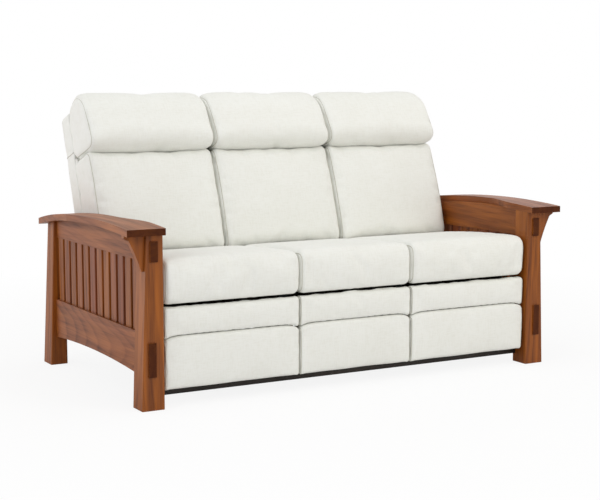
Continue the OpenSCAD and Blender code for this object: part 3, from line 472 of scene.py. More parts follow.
def ivory_chenille(name, main, fleck):
    """Heathered ivory chenille: soft pile that scatters light, flecked yarns running both
    ways, a plain weave under them, and a slow change of tone where hands have brushed it."""
    material, tree, output = blank(name)
    coordinates = node(tree, "ShaderNodeTexCoord").outputs["Object"]
    flecked = []
    for cells in ((FLECK_ACROSS, FLECK_ALONG, FLECK_ALONG),
                  (FLECK_ALONG, FLECK_ACROSS, FLECK_ACROSS)):
        space = node(tree, "ShaderNodeVectorMath", {0: coordinates, 1: cells},
                     operation="MULTIPLY")
        flecked.append(node(tree, "ShaderNodeTexNoise",
                            {"Vector": space.outputs[0], "Scale": 1.0, "Detail": 2.0}))
    warp, weft = flecked
    yarns = node(tree, "ShaderNodeMath", {0: warp.outputs[0], 1: weft.outputs[0]},
                 operation="ADD")
    flecks = node(tree, "ShaderNodeMapRange",
                  {"Value": yarns.outputs[0], "From Min": 0.9, "From Max": 1.3,
                   "To Max": 0.25})
    # Brushed places of about 180 mm
    brushed = node(tree, "ShaderNodeTexNoise",
                   {"Vector": coordinates, "Scale": 5.5, "Detail": 3.0})
    slow = node(tree, "ShaderNodeMapRange",
                {"Value": brushed.outputs[0], "From Min": 0.35, "From Max": 0.7,
                 "To Max": 0.14})
    share = node(tree, "ShaderNodeMath", {0: flecks.outputs[0], 1: slow.outputs[0]},
                 operation="ADD", use_clamp=True)
    tint = node(tree, "ShaderNodeMix",
                {MIX_FACTOR: share.outputs[0], MIX_A: main, MIX_B: fleck}, data_type="RGBA")
    # Plain weave: threads along X cross threads that run up the front and back over the top
    split = node(tree, "ShaderNodeSeparateXYZ", {0: coordinates})
    over = node(tree, "ShaderNodeMath", {0: split.outputs["Y"], 1: split.outputs["Z"]},
                operation="ADD")
    turns = 2 * math.pi / (2 * bpy.context.scene.sofa_cloth.weave)
    across = node(tree, "ShaderNodeMath", {0: split.outputs["X"], 1: turns},
                  operation="MULTIPLY")
    along = node(tree, "ShaderNodeMath", {0: over.outputs[0], 1: turns}, operation="MULTIPLY")
    ups = node(tree, "ShaderNodeMath", {0: across.outputs[0]}, operation="SINE")
    downs = node(tree, "ShaderNodeMath", {0: along.outputs[0]}, operation="SINE")
    weave = node(tree, "ShaderNodeMath", {0: ups.outputs[0], 1: downs.outputs[0]},
                 operation="MULTIPLY")
    pile = node(tree, "ShaderNodeMath", {0: yarns.outputs[0], 1: 2.4, 2: weave.outputs[0]},
                operation="MULTIPLY_ADD")
    relief = node(tree, "ShaderNodeBump",
                  {"Height": pile.outputs[0], "Strength": 0.45, "Distance": 0.25 * MM})
    shader = node(tree, "ShaderNodeBsdfPrincipled", {
        "Base Color": tint.outputs[MIX_RESULT], "Roughness": 0.92, "IOR": 1.45,
        "Specular IOR Level": 0.3, "Sheen Weight": 0.18, "Sheen Roughness": 0.45,
    })
    finish_surface(tree, output, shader, relief.outputs[0])
    return material


def once(name, make, *words, **more):
    """A material by name, made the first time that it is asked for."""
    return bpy.data.materials.get(name) or make(name, *words, **more)


def zinc_plate():
    """Plated steel of the links, bolts, tracks and brackets."""
    zinc = tuple(bpy.context.scene.sofa_steel.zinc)
    return once("zinc plated steel", worked_steel, zinc, roughness=0.34, blotches=40.0)


def cover_cloths():
    """The fabric of the covers and the cord of their seams, whose darker colour is painted shade in
    the seams.
    """
    cloth = bpy.context.scene.sofa_cloth
    return [once("ivory chenille", ivory_chenille, cloth.ivory, cloth.oatmeal),
            once("flax seam cord", ivory_chenille, cloth.thread, cloth.oatmeal)]


def coat_node(piece, *materials):
    """Gives a CAD node its materials."""
    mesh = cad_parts[piece].data
    mesh.materials.clear()
    for material in materials:
        mesh.materials.append(material)


# Padded forms. Their points come from the surface grid of a cube: X runs along a seat's width,
# Y from front to rear and Z upwards. A side is an axis and whether it's the far one.

FRONT, REAR, FOOT, TOP = (1, False), (1, True), (2, False), (2, True)
# Steps of the grid in half of a rounded edge, and the places of their lines
HALF_ARC = 2
ARC_OFFSETS = [math.tan(math.radians(45) * i / HALF_ARC) for i in range(HALF_ARC + 1)]


def cube_shell(counts):
    """Points of a cube's surface grid as whole numbers, and its outward quads with their side."""
    index, quads, faces = {}, [], []
    for axis in range(3):
        b, c = (axis + 1) % 3, (axis + 2) % 3
        for end in (0, counts[axis]):
            for i in range(counts[b]):
                for j in range(counts[c]):
                    ring = []
                    for di, dj in ((0, 0), (1, 0), (1, 1), (0, 1)):
                        spot = [0, 0, 0]
                        spot[axis], spot[b], spot[c] = end, i + di, j + dj
                        ring.append(index.setdefault(tuple(spot), len(index)))
                    quads.append(ring if end else ring[::-1])
                    faces.append((axis, bool(end)))
    return np.array(list(index)), quads, faces


def steps(span, radius, spacing):
    """Number of grid steps along a side that ends in two half arcs."""
    return max(3, round((span - 2 * radius) / spacing)) + 2 * HALF_ARC


def side_places(count, half, radius):
    """Places of a side's grid lines on the sharp edged box, with its arcs' lines bunched."""
    arcs = [-(half - radius) - radius * t for t in reversed(ARC_OFFSETS)]
    inner = np.linspace(-(half - radius), half - radius, count - 2 * HALF_ARC + 1)[1:-1]
    return np.array([*arcs, *inner, *[-a for a in reversed(arcs)]])


def even(radius):
    """The same radius for the rear top, front top, front foot and rear foot edges."""
    return [radius] * 4


def ring_point(j, k, counts, halves, radii):
    """Point of a rounded rectangle for a place on the edge of its grid."""
    bunched = sum(radii) / 4
    sharp = [np.interp(place, range(count + 1), side_places(count, half, bunched))
             for place, count, half in zip((j, k), counts, halves)]
    radius = radii[(0 if sharp[0] >= 0 else 1) if sharp[1] >= 0 else (3 if sharp[0] >= 0 else 2)]
    inner = [min(max(s, -(half - radius)), half - radius) for s, half in zip(sharp, halves)]
    away = [s - i for s, i in zip(sharp, inner)]
    reach = math.hypot(*away) or 1.0
    return [i + radius * a / reach for i, a in zip(inner, away)]


def padded_points(grid, counts, w, d, h, radii, end_edge):
    """Lays a cube's grid on a block whose long edges have the radii and whose ends are rounded
    by end_edge, apart from their rear edges."""
    nx, ny, nz = counts
    stations = side_places(nx, w / 2, end_edge)
    points = np.zeros((len(grid), 3))
    rings = {}

    def ring(m, j, k, drawn):
        key = (m, j, k)
        if key not in rings:
            share = 1 - drawn / end_edge / 2
            halves = (d / 2 - drawn / 2, h / 2 - drawn)
            u, v = ring_point(j, k, (ny, nz), halves, [r * share for r in radii])
            rings[key] = (u + drawn / 2, v)
        return rings[key]

    def drawn_at(angle):
        return end_edge * (1 - math.cos(angle))

    def cap(j, k):
        """Point on an end, whose outer rings follow the arc and whose middle is filled in."""
        m = min(j, ny - j, k, nz - k)
        level = min(m, HALF_ARC)
        angle = math.radians(45 + 45 * level / HALF_ARC)
        drawn = drawn_at(angle)

        def rim(a, b):
            return np.array(ring(level + 1, (a - level) / (ny - 2 * level) * ny,
                                 (b - level) / (nz - 2 * level) * nz, drawn))

        if m <= HALF_ARC:
            return angle, rim(j, k)
        low_j, high_j, low_k, high_k = level, ny - level, level, nz - level
        s, t = (j - low_j) / (high_j - low_j), (k - low_k) / (high_k - low_k)
        flat = ((1 - s) * rim(low_j, k) + s * rim(high_j, k)
                + (1 - t) * rim(j, low_k) + t * rim(j, high_k)
                - (1 - s) * (1 - t) * rim(low_j, low_k) - s * (1 - t) * rim(high_j, low_k)
                - (1 - s) * t * rim(low_j, high_k) - s * t * rim(high_j, high_k))
        return angle, flat

    for n, (i, j, k) in enumerate(grid):
        near = min(i, nx - i)
        if near == 0:
            angle, section = cap(int(j), int(k))
        else:
            angle = math.radians(45 * (1 - near / HALF_ARC)) if near < HALF_ARC else 0.0
            section = ring(-near if near < HALF_ARC else 0, int(j), int(k), drawn_at(angle))
        if near >= HALF_ARC:
            x = stations[i]
        else:
            x = math.copysign(w / 2 - end_edge + end_edge * math.sin(angle), i - nx / 2)
        points[n] = (x, *section)
    return points


def bend_form(points, w, d, h, fall=0.0, crown=0.0, belly=0.0, dent=0.0, lean=0.0,
              top_dip=0.0, foot_dip=0.0):
    """Bends a block as its CAD solid is bent: the top falls to the rear and is crowned, the
    front has a belly and leans back, the ends are drawn in, and the top and foot dip at the
    two ends."""
    # The crown and the dips end this steeply, close to the two ends
    steep = 12
    x, y, z = points.T
    t, p, q = 2 * x / w, 2 * y / d, 2 * z / h
    up, down, front = np.maximum(q, 0), np.maximum(-q, 0), np.maximum(-p, 0)
    return np.column_stack([
        x - t * dent * (1 - p * p) * (1 - q * q),
        y + d / 2 - belly * (1 - t * t / 2) * (1 - q * q) * front + lean * q * (1 - p) / 4,
        (1 + q) / 2 * (h - fall * (1 + p) / 2) + crown * (1 - t ** steep) * (1 - p * p) * up
        - np.abs(t) ** steep * (top_dip * up + foot_dip * down),
    ])


def chain_loops(pairs):
    """Puts the point pairs of edges into closed loops, in order."""
    beside = {}
    for a, b in pairs:
        beside.setdefault(a, []).append(b)
        beside.setdefault(b, []).append(a)
    loops, left = [], set(beside)
    while left:
        start = min(left)
        loop, last, here = [start], None, start
        while True:
            left.discard(here)
            onward = [n for n in beside[here] if n != last]
            last, here = here, onward[0] if onward else None
            if here is None or here == start:
                break
            loop.append(here)
        loops.append(loop)
    return loops


def cord_tube(path, across, radius, closed, sides=6):
    """Points and quads of a thin tube along a path; across is roughly square to the path."""
    count = len(path)
    ahead = np.roll(path, -1, axis=0) - np.roll(path, 1, axis=0)
    if not closed:
        ahead[0], ahead[-1] = path[1] - path[0], path[-1] - path[-2]
    ahead /= np.linalg.norm(ahead, axis=1)[:, None]
    outward = np.cross(ahead, across)
    outward /= np.linalg.norm(outward, axis=1)[:, None]
    third = np.cross(ahead, outward)
    turns = np.linspace(0, 2 * math.pi, sides, endpoint=False)
    points = [
        path[i] + radius * (math.cos(a) * outward[i] + math.sin(a) * third[i])
        for i in range(count) for a in turns
    ]
    quads = []
    for i in range(count if closed else count - 1):
        for s in range(sides):
            a, b = i * sides, (i + 1) % count * sides
            quads.append([a + s, a + (s + 1) % sides, b + (s + 1) % sides, b + s])
    if not closed:
        quads += [list(range(sides)), [(count - 1) * sides + s for s in reversed(range(sides))]]
    return points, quads


# How the covers' cloth behaves while it is stuffed, in the units of Blender's Cloth
COVER_CLOTH = {
    "quality": 4, "mass": 0.25, "tension_stiffness": 18, "compression_stiffness": 18,
    "shear_stiffness": 6, "bending_stiffness": 1.2, "use_pressure": True,
    "uniform_pressure_force": 4, "shrink_min": -0.035, "vertex_group_mass": "held",
    "pin_stiffness": 1,
}
# How firmly the points are held that rest on a frame, and those of the seams
REST_HOLD, SEAM_HOLD = 0.9, 1.0


def stuff(pieces, held, give, frames):
    """Inflates closed cloth forms together with Cloth, and keeps each point's move within give."""
    scene = bpy.context.scene
    for piece, pinned in zip(pieces, held):
        group = piece.vertex_groups.new(name="held")
        for index, weight in pinned.items():
            group.add([index], weight, "REPLACE")
        cloth = piece.modifiers.new("stuffing", "CLOTH")
        for name, value in COVER_CLOTH.items():
            setattr(cloth.settings, name, value)
        cloth.settings.effector_weights.gravity = 0
        cloth.point_cache.frame_start, cloth.point_cache.frame_end = 1, frames
    for step in range(1, frames + 1):
        scene.frame_set(step)
    shapes = bpy.context.evaluated_depsgraph_get()
    for piece in pieces:
        start = np.array([v.co for v in piece.data.vertices])
        move = np.array([v.co for v in piece.evaluated_get(shapes).data.vertices]) - start
        reach = np.linalg.norm(move, axis=1)
        share = np.where(reach > 0, give * np.tanh(reach / give) / np.maximum(reach, 1e-9), 0)
        piece.modifiers.remove(piece.modifiers["stuffing"])
        piece.vertex_groups.clear()
        piece.data.vertices.foreach_set("co", (start + move * share[:, None]).ravel())
        piece.data.update()
    scene.frame_set(1)


def mesh_piece(name, points, quads, materials, slots=None):
    """A new mesh object at the origin, smooth shaded."""
    mesh = bpy.data.meshes.new(name)
    mesh.from_pydata([tuple(p) for p in points], [], quads)
    mesh.validate()
    for material in materials:
        mesh.materials.append(material)
    mesh.polygons.foreach_set("use_smooth", [True] * len(mesh.polygons))
    if slots is not None:
        mesh.polygons.foreach_set("material_index", slots)
    piece = bpy.data.objects.new(name, mesh)
    bpy.context.scene.collection.objects.link(piece)
    return piece


def ripple(points, seed, height, wave):
    """Slow uneven bumps for hand-stuffed fabric, one value for each point."""
    waves = 9
    draw = np.random.default_rng(seed)
    total = np.zeros(len(points))
    for _ in range(waves):
        direction = draw.normal(size=3)
        direction /= np.linalg.norm(direction)
        total += np.sin(points @ direction * 2 * math.pi / (wave * draw.uniform(0.7, 1.6))
                        + draw.uniform(0, 2 * math.pi))
    return total * height / math.sqrt(waves)


def place_seat(x, y, z):
    """Where a form drawn about its own middle, front and foot goes, counted from the posts'
    fronts."""
    return Matrix.Translation((x, y - POSTS_FRONT, z))


def place_back(context, x, v, u):
    """The same for a form on a leaning back: v is counted through the back and u up it."""
    sizes = context.scene.sofa_cushions
    return (Matrix.Translation((x, sizes.back_y - POSTS_FRONT, sizes.back_z))
            @ Matrix.Rotation(-sizes.back_tilt, 4, "X") @ Matrix.Translation((0, v, u)))


def carried(points, matrix):
    """Points turned and moved by a matrix."""
    return points @ np.array(matrix.to_3x3()).T + np.array(matrix.translation)


def width_of(name):
    """Width of a CAD node, and the place of its middle."""
    low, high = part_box(name)
    return high.x - low.x, (low.x + high.x) / 2


def padded_block(w, d, h, radii, end_edge):
    """A block with rounded edges: the steps, points and quads of its grid, and its shape."""
    spacing = bpy.context.scene.sofa_cloth.grid
    bunched = sum(radii) / 4
    counts = [steps(span, radius, spacing)
              for span, radius in ((w, end_edge), (d, bunched), (h, bunched))]
    grid, quads, _ = cube_shell(counts)
    return counts, grid, quads, padded_points(grid, counts, w, d, h, radii, end_edge)


def end_seams(counts, grid, quads):
    """Loops of points around the rims of a grid's two ends."""
    def on_rim(n):
        i, j, k = grid[n]
        return i in (0, counts[0]) and (j in (0, counts[1]) or k in (0, counts[2]))

    edges = [(a, b) for quad in quads for a, b in zip(quad, quad[1:] + quad[:1])
             if on_rim(a) and on_rim(b)]
    pairs = {tuple(sorted(edge)) for edge in edges}
    return chain_loops([(a, b) for a, b in pairs if grid[a][0] == grid[b][0]])


def sew_pads(context, kind, body, place, *, depth, height, radii, end_edge, give, rests,
             bend, seed):
    """Makes one padded form for each seat: draws it, stuffs it, sews a cord into its end
    seams, subdivides it and puts it on its body in place of the CAD solid."""
    bump, wave = 0.9 * MM, 150 * MM
    cloth = context.scene.sofa_cloth
    cloths = cover_cloths()
    pieces, holds, plans = [], [], []
    for number, seat in enumerate(SEATS):
        w, x = width_of(f"{seat}_{kind}")
        counts, grid, quads, block = padded_block(w, depth, height, radii, end_edge)
        form = bend_form(block, w, depth, height, **bend)
        soft = ripple(form, seed + number, bump, wave)
        outward = form - form.mean(axis=0)
        outward /= np.linalg.norm(outward, axis=1)[:, None]
        resting = np.zeros(len(form), bool)
        for axis, end in rests:
            resting |= grid[:, axis] == (counts[axis] if end else 0)
        form += outward * (soft * ~resting)[:, None]
        loops = end_seams(counts, grid, quads)
        pinned = {int(n): REST_HOLD for n in np.flatnonzero(resting)}
        for loop in loops:
            pinned.update({n: SEAM_HOLD for n in loop})
        pieces.append(mesh_piece(f"{seat}_{kind}_cloth", carried(form, place(x)), quads, cloths))
        holds.append(pinned)
        plans.append((loops, w, x))
    stuff(pieces, holds, give, cloth.frames)
    for piece, seat, (loops, w, x) in zip(pieces, SEATS, plans):
        mesh = piece.data
        points = np.array([v.co for v in mesh.vertices])
        # Neighbouring cushions touch but never run into each other
        points[:, 0] = np.clip(points[:, 0], x - w / 2, x + w / 2)
        quads = [list(p.vertices) for p in mesh.polygons]
        slots = [0] * len(quads)
        # The cords take the second material, darker than the fabric as painted seam shade
        for loop in loops:
            tube, rings = cord_tube(points[loop], np.array([1.0, 0.0, 0.0]), cloth.cord, True)
            first = len(points)
            points = np.vstack([points, tube])
            quads += [[first + n for n in ring] for ring in rings]
            slots += [1] * len(rings)
        name = piece.name
        bpy.data.objects.remove(piece)
        bpy.data.meshes.remove(mesh)
        piece = mesh_piece(name, points, quads, cloths, slots)
        piece.modifiers.new("smooth", "SUBSURF").render_levels = 1
        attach(piece, f"{seat}_{body}")
        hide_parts(f"{seat}_{kind}")


class SOFA_OT_frame_wood(Operator):
    """Finishes the posts, rails, slats, arm tops and corbels in stained oak"""

    bl_idname = "sofa.frame_wood"
    bl_label = "Oak frame"

    def execute(self, context):
        wood = context.scene.sofa_wood
        colours = (wood.light, wood.dark, wood.rosy, wood.end)
        # Each kind's grain, its share of redder wood and the taper of its log
        kinds = (("front_post", "Z", 0.2, 0.03), ("rear_post", "Z", 0.45, 0.03),
                 ("lower_rail", "Y", 0.6, 0.16), ("upper_rail", "Y", 0.4, 0.1),
                 ("slats", "Z", 1.0, 0.03), ("arm_top", "Y", 0.5, 0.05),
                 ("corbel", "Z", 0.3, 0.03))
        low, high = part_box("left_slats")
        pitch = (high.y - low.y - wood.slat_width) / (wood.slat_count - 1)
        start = low.y - (pitch - wood.slat_width) / 2
        for s, side in enumerate(SIDES):
            for k, (kind, grain, share, taper) in enumerate(kinds):
                piece = f"{side}_{kind}"
                material = sawn_wood(
                    f"stained oak {side} {kind}".replace("_", " "), piece, grain,
                    11 * s + k + 3, colours, wood.ring_width, roughness=0.4, coat=0.12,
                    other_share=share, boards=(start, pitch) if kind == "slats" else None,
                    taper=taper)
                coat_node(piece, material)
        return {"FINISHED"}


class SOFA_OT_base_rails(Operator):
    """Finishes the two base rails in ebonised oak"""

    bl_idname = "sofa.base_rails"
    bl_label = "Base rails"

    def execute(self, context):
        wood = context.scene.sofa_wood
        colours = (wood.base_light, wood.base_dark) * 2
        for number, piece in enumerate(("front_base_rail", "rear_base_rail")):
            material = sawn_wood(
                f"ebonised oak {piece}".replace("_", " "), piece, "X", 40 + number, colours,
                wood.ring_width, roughness=0.5, coat=0.1)
            coat_node(piece, material)
        return {"FINISHED"}


class SOFA_OT_inner_frames(Operator):
    """Finishes the seat frames in black pine and the back frames in brown, darkened as painted
    shade in the gaps, and the boards in plywood
    """

    bl_idname = "sofa.inner_frames"
    bl_label = "Inner frames and boards"

    def execute(self, context):
        wood = context.scene.sofa_wood
        plated = zinc_plate()
        board = once("birch plywood", birch_plywood)
        for s, seat in enumerate(SEATS):
            # Seat frames take the ebonised base rail's colours and back frames the dark pine, both
            # darkened as painted shade so the gaps between the cushions read dark
            rows = (("seat_frame", "Y", "blackened pine", (wood.base_light, wood.base_dark)),
                    ("back_frame", "Z", "dark stained pine", (wood.pine, wood.pine_ring)))
            for kind, grain, finish, colours in rows:
                piece = f"{seat}_{kind}"
                pine = sawn_wood(
                    f"{finish} {seat} {kind}".replace("_", " "), piece, grain, 60 + s,
                    colours * 2, ring_width=6 * MM, roughness=0.6, coat=0.0)
                coat_node(piece, pine, plated)
            for kind in ("footrest_board", "flipper_board"):
                coat_node(f"{seat}_{kind}", board, plated)
            for kind in ("back_frame", "footrest_board", "flipper_board"):
                self.plate_brackets(f"{seat}_{kind}")
        return {"FINISHED"}

    def plate_brackets(self, piece):
        """The brackets are the loose parts of the node that are thin along X."""
        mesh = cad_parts[piece].data
        parent = list(range(len(mesh.vertices)))

        def root(n):
            while parent[n] != n:
                parent[n] = parent[parent[n]]
                n = parent[n]
            return n

        same = {}
        for v in mesh.vertices:
            first = same.setdefault(tuple(round(c, 6) for c in v.co), v.index)
            parent[root(v.index)] = root(first)
        for edge in mesh.edges:
            parent[root(edge.vertices[0])] = root(edge.vertices[1])
        spans = {}
        for v in mesh.vertices:
            low, high = spans.get(root(v.index), (v.co.x, v.co.x))
            spans[root(v.index)] = (min(low, v.co.x), max(high, v.co.x))
        thin = 6 * MM
        for face in mesh.polygons:
            low, high = spans[root(face.vertices[0])]
            face.material_index = int(high - low < thin)


class SOFA_OT_steel(Operator):
    """Finishes the tracks, bolts, springs, side plates and links in steel"""

    bl_idname = "sofa.steel"
    bl_label = "Steel parts"

    def execute(self, context):
        steel = context.scene.sofa_steel
        plated = zinc_plate()
        oiled = once("black oxide sheet steel", worked_steel, tuple(steel.sheet),
                     roughness=0.46, blotches=18.0)
        wire = once("oil tempered spring wire", worked_steel, tuple(steel.spring),
                    roughness=0.4, blotches=60.0)
        for piece in ("seat_tracks", "rail_bolts"):
            coat_node(piece, plated)
        for seat in SEATS:
            coat_node(f"{seat}_side_plates", oiled)
            coat_node(f"{seat}_seat_springs", wire)
            coat_node(f"{seat}_drive_links", plated)
            coat_node(f"{seat}_fore_links", plated)
        return {"FINISHED"}


class SOFA_OT_seat_cushions(Operator):
    """Makes the three seat cushions"""

    bl_idname = "sofa.seat_cushions"
    bl_label = "Seat cushions"

    def execute(self, context):
        sizes = context.scene.sofa_cushions
        sew_pads(
            context, "seat_cushion", "seat",
            lambda x: place_seat(x, sizes.seat_front, sizes.seat_foot),
            depth=sizes.seat_depth, height=sizes.seat_height, radii=even(30 * MM),
            end_edge=24 * MM, give=9 * MM, rests=[FOOT], seed=100,
            bend={"fall": sizes.seat_fall, "crown": 12 * MM, "belly": 6 * MM, "dent": 5 * MM})
        return {"FINISHED"}


class SOFA_OT_footrest_pads(Operator):
    """Makes the three footrest pads and the three flipper pads above them"""

    bl_idname = "sofa.footrest_pads"
    bl_label = "Footrest and flipper pads"

    def execute(self, context):
        sizes = context.scene.sofa_cushions
        # Each pad rests on its board, and on the seam between the two
        rows = (("footrest", sizes.footrest_foot, sizes.footrest_height, "top_dip", TOP),
                ("flipper", sizes.flipper_foot, sizes.flipper_height, "foot_dip", FOOT))
        for row, (kind, foot, height, dip, seam) in enumerate(rows):
            sew_pads(
                context, f"{kind}_pad", kind,
                lambda x, z=foot: place_seat(x, sizes.pad_front, z),
                depth=sizes.pad_depth, height=height, radii=even(13 * MM), end_edge=13 * MM,
                give=3 * MM, rests=[REAR, seam], seed=200 + 10 * row,
                bend={"belly": 6 * MM, "dent": 2 * MM, dip: sizes.seam_dip})
        return {"FINISHED"}


class SOFA_OT_back_cushions(Operator):
    """Makes the three back cushions, and the tails under them"""

    bl_idname = "sofa.back_cushions"
    bl_label = "Back cushions"

    def execute(self, context):
        sizes = context.scene.sofa_cushions
        sew_pads(
            context, "back_cushion", "back",
            lambda x: place_back(context, x, sizes.back_rear - sizes.back_depth, sizes.back_foot),
            depth=sizes.back_depth, height=sizes.back_height,
            radii=[8 * MM, 30 * MM, 30 * MM, 8 * MM], end_edge=24 * MM, give=9 * MM,
            rests=[REAR], seed=300, bend={"belly": 24 * MM, "dent": 10 * MM})
        self.sew_tails(context, sizes)
        return {"FINISHED"}

    def sew_tails(self, context, sizes):
        """A thin padded tail carries each back's cover down behind its seat cushion."""
        inset, setback, thickness, edge = 30 * MM, 54 * MM, 12 * MM, 5 * MM
        drop, lap = 80 * MM, 10 * MM
        fabric, _ = cover_cloths()
        for seat in SEATS:
            width, x = width_of(f"{seat}_back_cushion")
            spans = (width - 2 * inset, thickness, drop + lap)
            _, _, quads, block = padded_block(*spans, even(edge), edge)
            matrix = place_back(context, x, setback, sizes.back_foot - drop)
            world = carried(bend_form(block, *spans), matrix)
            piece = mesh_piece(f"{seat}_back_tail", world, quads, [fabric])
            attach(piece, f"{seat}_back")


class SOFA_OT_headrests(Operator):
    """Makes the three headrests, and the rolls under them"""

    bl_idname = "sofa.headrests"
    bl_label = "Headrests"

    def execute(self, context):
        sizes = context.scene.sofa_cushions
        front = sizes.back_rear - sizes.headrest_depth
        sew_pads(
            context, "headrest", "back",
            lambda x: place_back(context, x, front, sizes.headrest_foot),
            depth=sizes.headrest_depth, height=sizes.headrest_height,
            radii=[80 * MM, 80 * MM, 44 * MM, 8 * MM], end_edge=24 * MM, give=8 * MM,
            rests=[REAR], seed=400,
            bend={"crown": 24 * MM, "dent": 10 * MM, "lean": sizes.headrest_lean})
        self.sew_rolls(context, sizes)
        return {"FINISHED"}

    def sew_rolls(self, context, sizes):
        """A stuffed roll closes the groove where headrest, back cushion and outside back meet."""
        radius = context.scene.sofa_cloth.roll
        inset, sink, stations = 3 * MM, 7 * MM, 24
        fabric, _ = cover_cloths()
        matrix = place_back(context, 0.0, sizes.back_rear - radius, sizes.headrest_foot - sink)
        for seat in SEATS:
            low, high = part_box(f"{seat}_back_cushion")
            ends = np.linspace(low.x + inset, high.x - inset, stations)
            path = np.array([matrix @ Vector((x, 0.0, 0.0)) for x in ends])
            points, quads = cord_tube(path, np.array([0.0, 0.0, 1.0]), radius, False, sides=12)
            piece = mesh_piece(f"{seat}_headrest_roll", points, quads, [fabric])
            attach(piece, f"{seat}_back")


class SOFA_OT_back_covers(Operator):
    """Makes the three outside backs as padded shells with sewn corners and a yoke seam"""

    bl_idname = "sofa.back_covers"
    bl_label = "Outside backs"

    def execute(self, context):
        sizes = context.scene.sofa_cushions
        cloths = cover_cloths()
        spacing = context.scene.sofa_cloth.grid
        edge, bump, wave = 22 * MM, 0.7 * MM, 220 * MM
        # How far the yoke's crease reaches, and how much it draws in the rear and the sides
        crease_reach, rear_tuck, side_tuck = 35 * MM, 1 * MM, 1.6 * MM
        bulge = 5 * MM
        d, h = sizes.cover_depth, sizes.cover_top - sizes.cover_foot
        for number, seat in enumerate(SEATS):
            w, x = width_of(f"{seat}_back_cover")
            counts = [steps(span, edge, spacing) for span in (w, d, h)]
            grid, quads, faces = cube_shell(counts)
            lines = [side_places(n, span / 2, edge) for n, span in zip(counts, (w, d, h))]
            # The open front and foot have no rounded edge
            for axis, span in ((1, d), (2, h)):
                lines[axis][:HALF_ARC + 1] = np.linspace(
                    -span / 2, lines[axis][HALF_ARC], HALF_ARC + 1)
            yoke = sizes.yoke - sizes.cover_foot - h / 2
            yoke_row = int(np.argmin(np.abs(lines[2] - yoke)))
            lines[2][yoke_row] = yoke
            sharp = np.column_stack([lines[a][grid[:, a]] for a in range(3)])
            least = np.array([-(w / 2 - edge), -d / 2, -h / 2])
            most = np.array([w / 2 - edge, d / 2 - edge, h / 2 - edge])
            inner = np.clip(sharp, least, most)
            away = sharp - inner
            reach = np.linalg.norm(away, axis=1)
            form = inner + away * (edge / np.maximum(reach, 1e-9))[:, None]
            form[reach < 1e-9] = sharp[reach < 1e-9]
            t, p, q = 2 * form[:, 0] / w, 2 * form[:, 1] / d, 2 * form[:, 2] / h
            level = np.abs(form[:, 2] - yoke)
            crease = 1.0 - np.exp(-(level / crease_reach) ** 2)
            rear = grid[:, 1] == counts[1]
            side = np.isin(grid[:, 0], (0, counts[0]))
            form[:, 1] += rear * (bulge * (1 - t ** 4) * (1 - np.abs(q) ** 6) * crease
                                  - rear_tuck * (1 - crease))
            form[:, 0] -= side * np.sign(t) * side_tuck * (1 - crease) * (p > -0.9)
            form[:, 1] += rear * ripple(form, 500 + number, bump, wave)
            quads = [quad for quad, face in zip(quads, faces) if face not in (FRONT, FOOT)]
            used = sorted({n for quad in quads for n in quad})
            order = {n: i for i, n in enumerate(used)}
            grid, form = grid[used], form[used]
            quads = [[order[n] for n in quad] for quad in quads]
            matrix = place_back(context, x, sizes.cover_front + d / 2, sizes.cover_foot + h / 2)
            world = carried(form, matrix)
            piece = mesh_piece(f"{seat}_back_cover_cloth", world, quads, cloths)
            wall = piece.modifiers.new("padding", "SOLIDIFY")
            wall.thickness, wall.offset = sizes.cover_wall, -1
            piece.modifiers.new("smooth", "SUBSURF").render_levels = 1
            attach(piece, f"{seat}_back")
            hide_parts(f"{seat}_back_cover")
            turn = np.array(matrix.to_3x3())
            self.sew(context, seat, grid, counts, world, turn, yoke_row, cloths[1])
        return {"FINISHED"}

    def sew(self, context, seat, grid, counts, world, turn, yoke_row, cord):
        """Cords along the two rear corners and across the yoke."""
        radius = context.scene.sofa_cloth.cord
        corners = [
            [n for n in np.lexsort((grid[:, 2],)) if tuple(grid[n][:2]) == (end, counts[1])]
            for end in (0, counts[0])
        ]
        yoke = [n for n in range(len(grid)) if grid[n][2] == yoke_row]
        left = sorted((n for n in yoke if grid[n][0] == 0), key=lambda n: grid[n][1])
        rear = sorted((n for n in yoke if grid[n][1] == counts[1]), key=lambda n: grid[n][0])
        right = sorted((n for n in yoke if grid[n][0] == counts[0]), key=lambda n: -grid[n][1])
        runs = [(corner, turn[:, 1]) for corner in corners]
        runs.append((left + rear[1:-1] + right, turn[:, 2]))
        points, quads = [], []
        for run, across in runs:
            tube, rings = cord_tube(world[run], across, radius, False)
            quads += [[len(points) + n for n in ring] for ring in rings]
            points += tube
        # The cords take the seam cord material, darker than the fabric as painted seam shade
        piece = mesh_piece(f"{seat}_back_cover_seams", points, quads, [cord])
        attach(piece, f"{seat}_back")


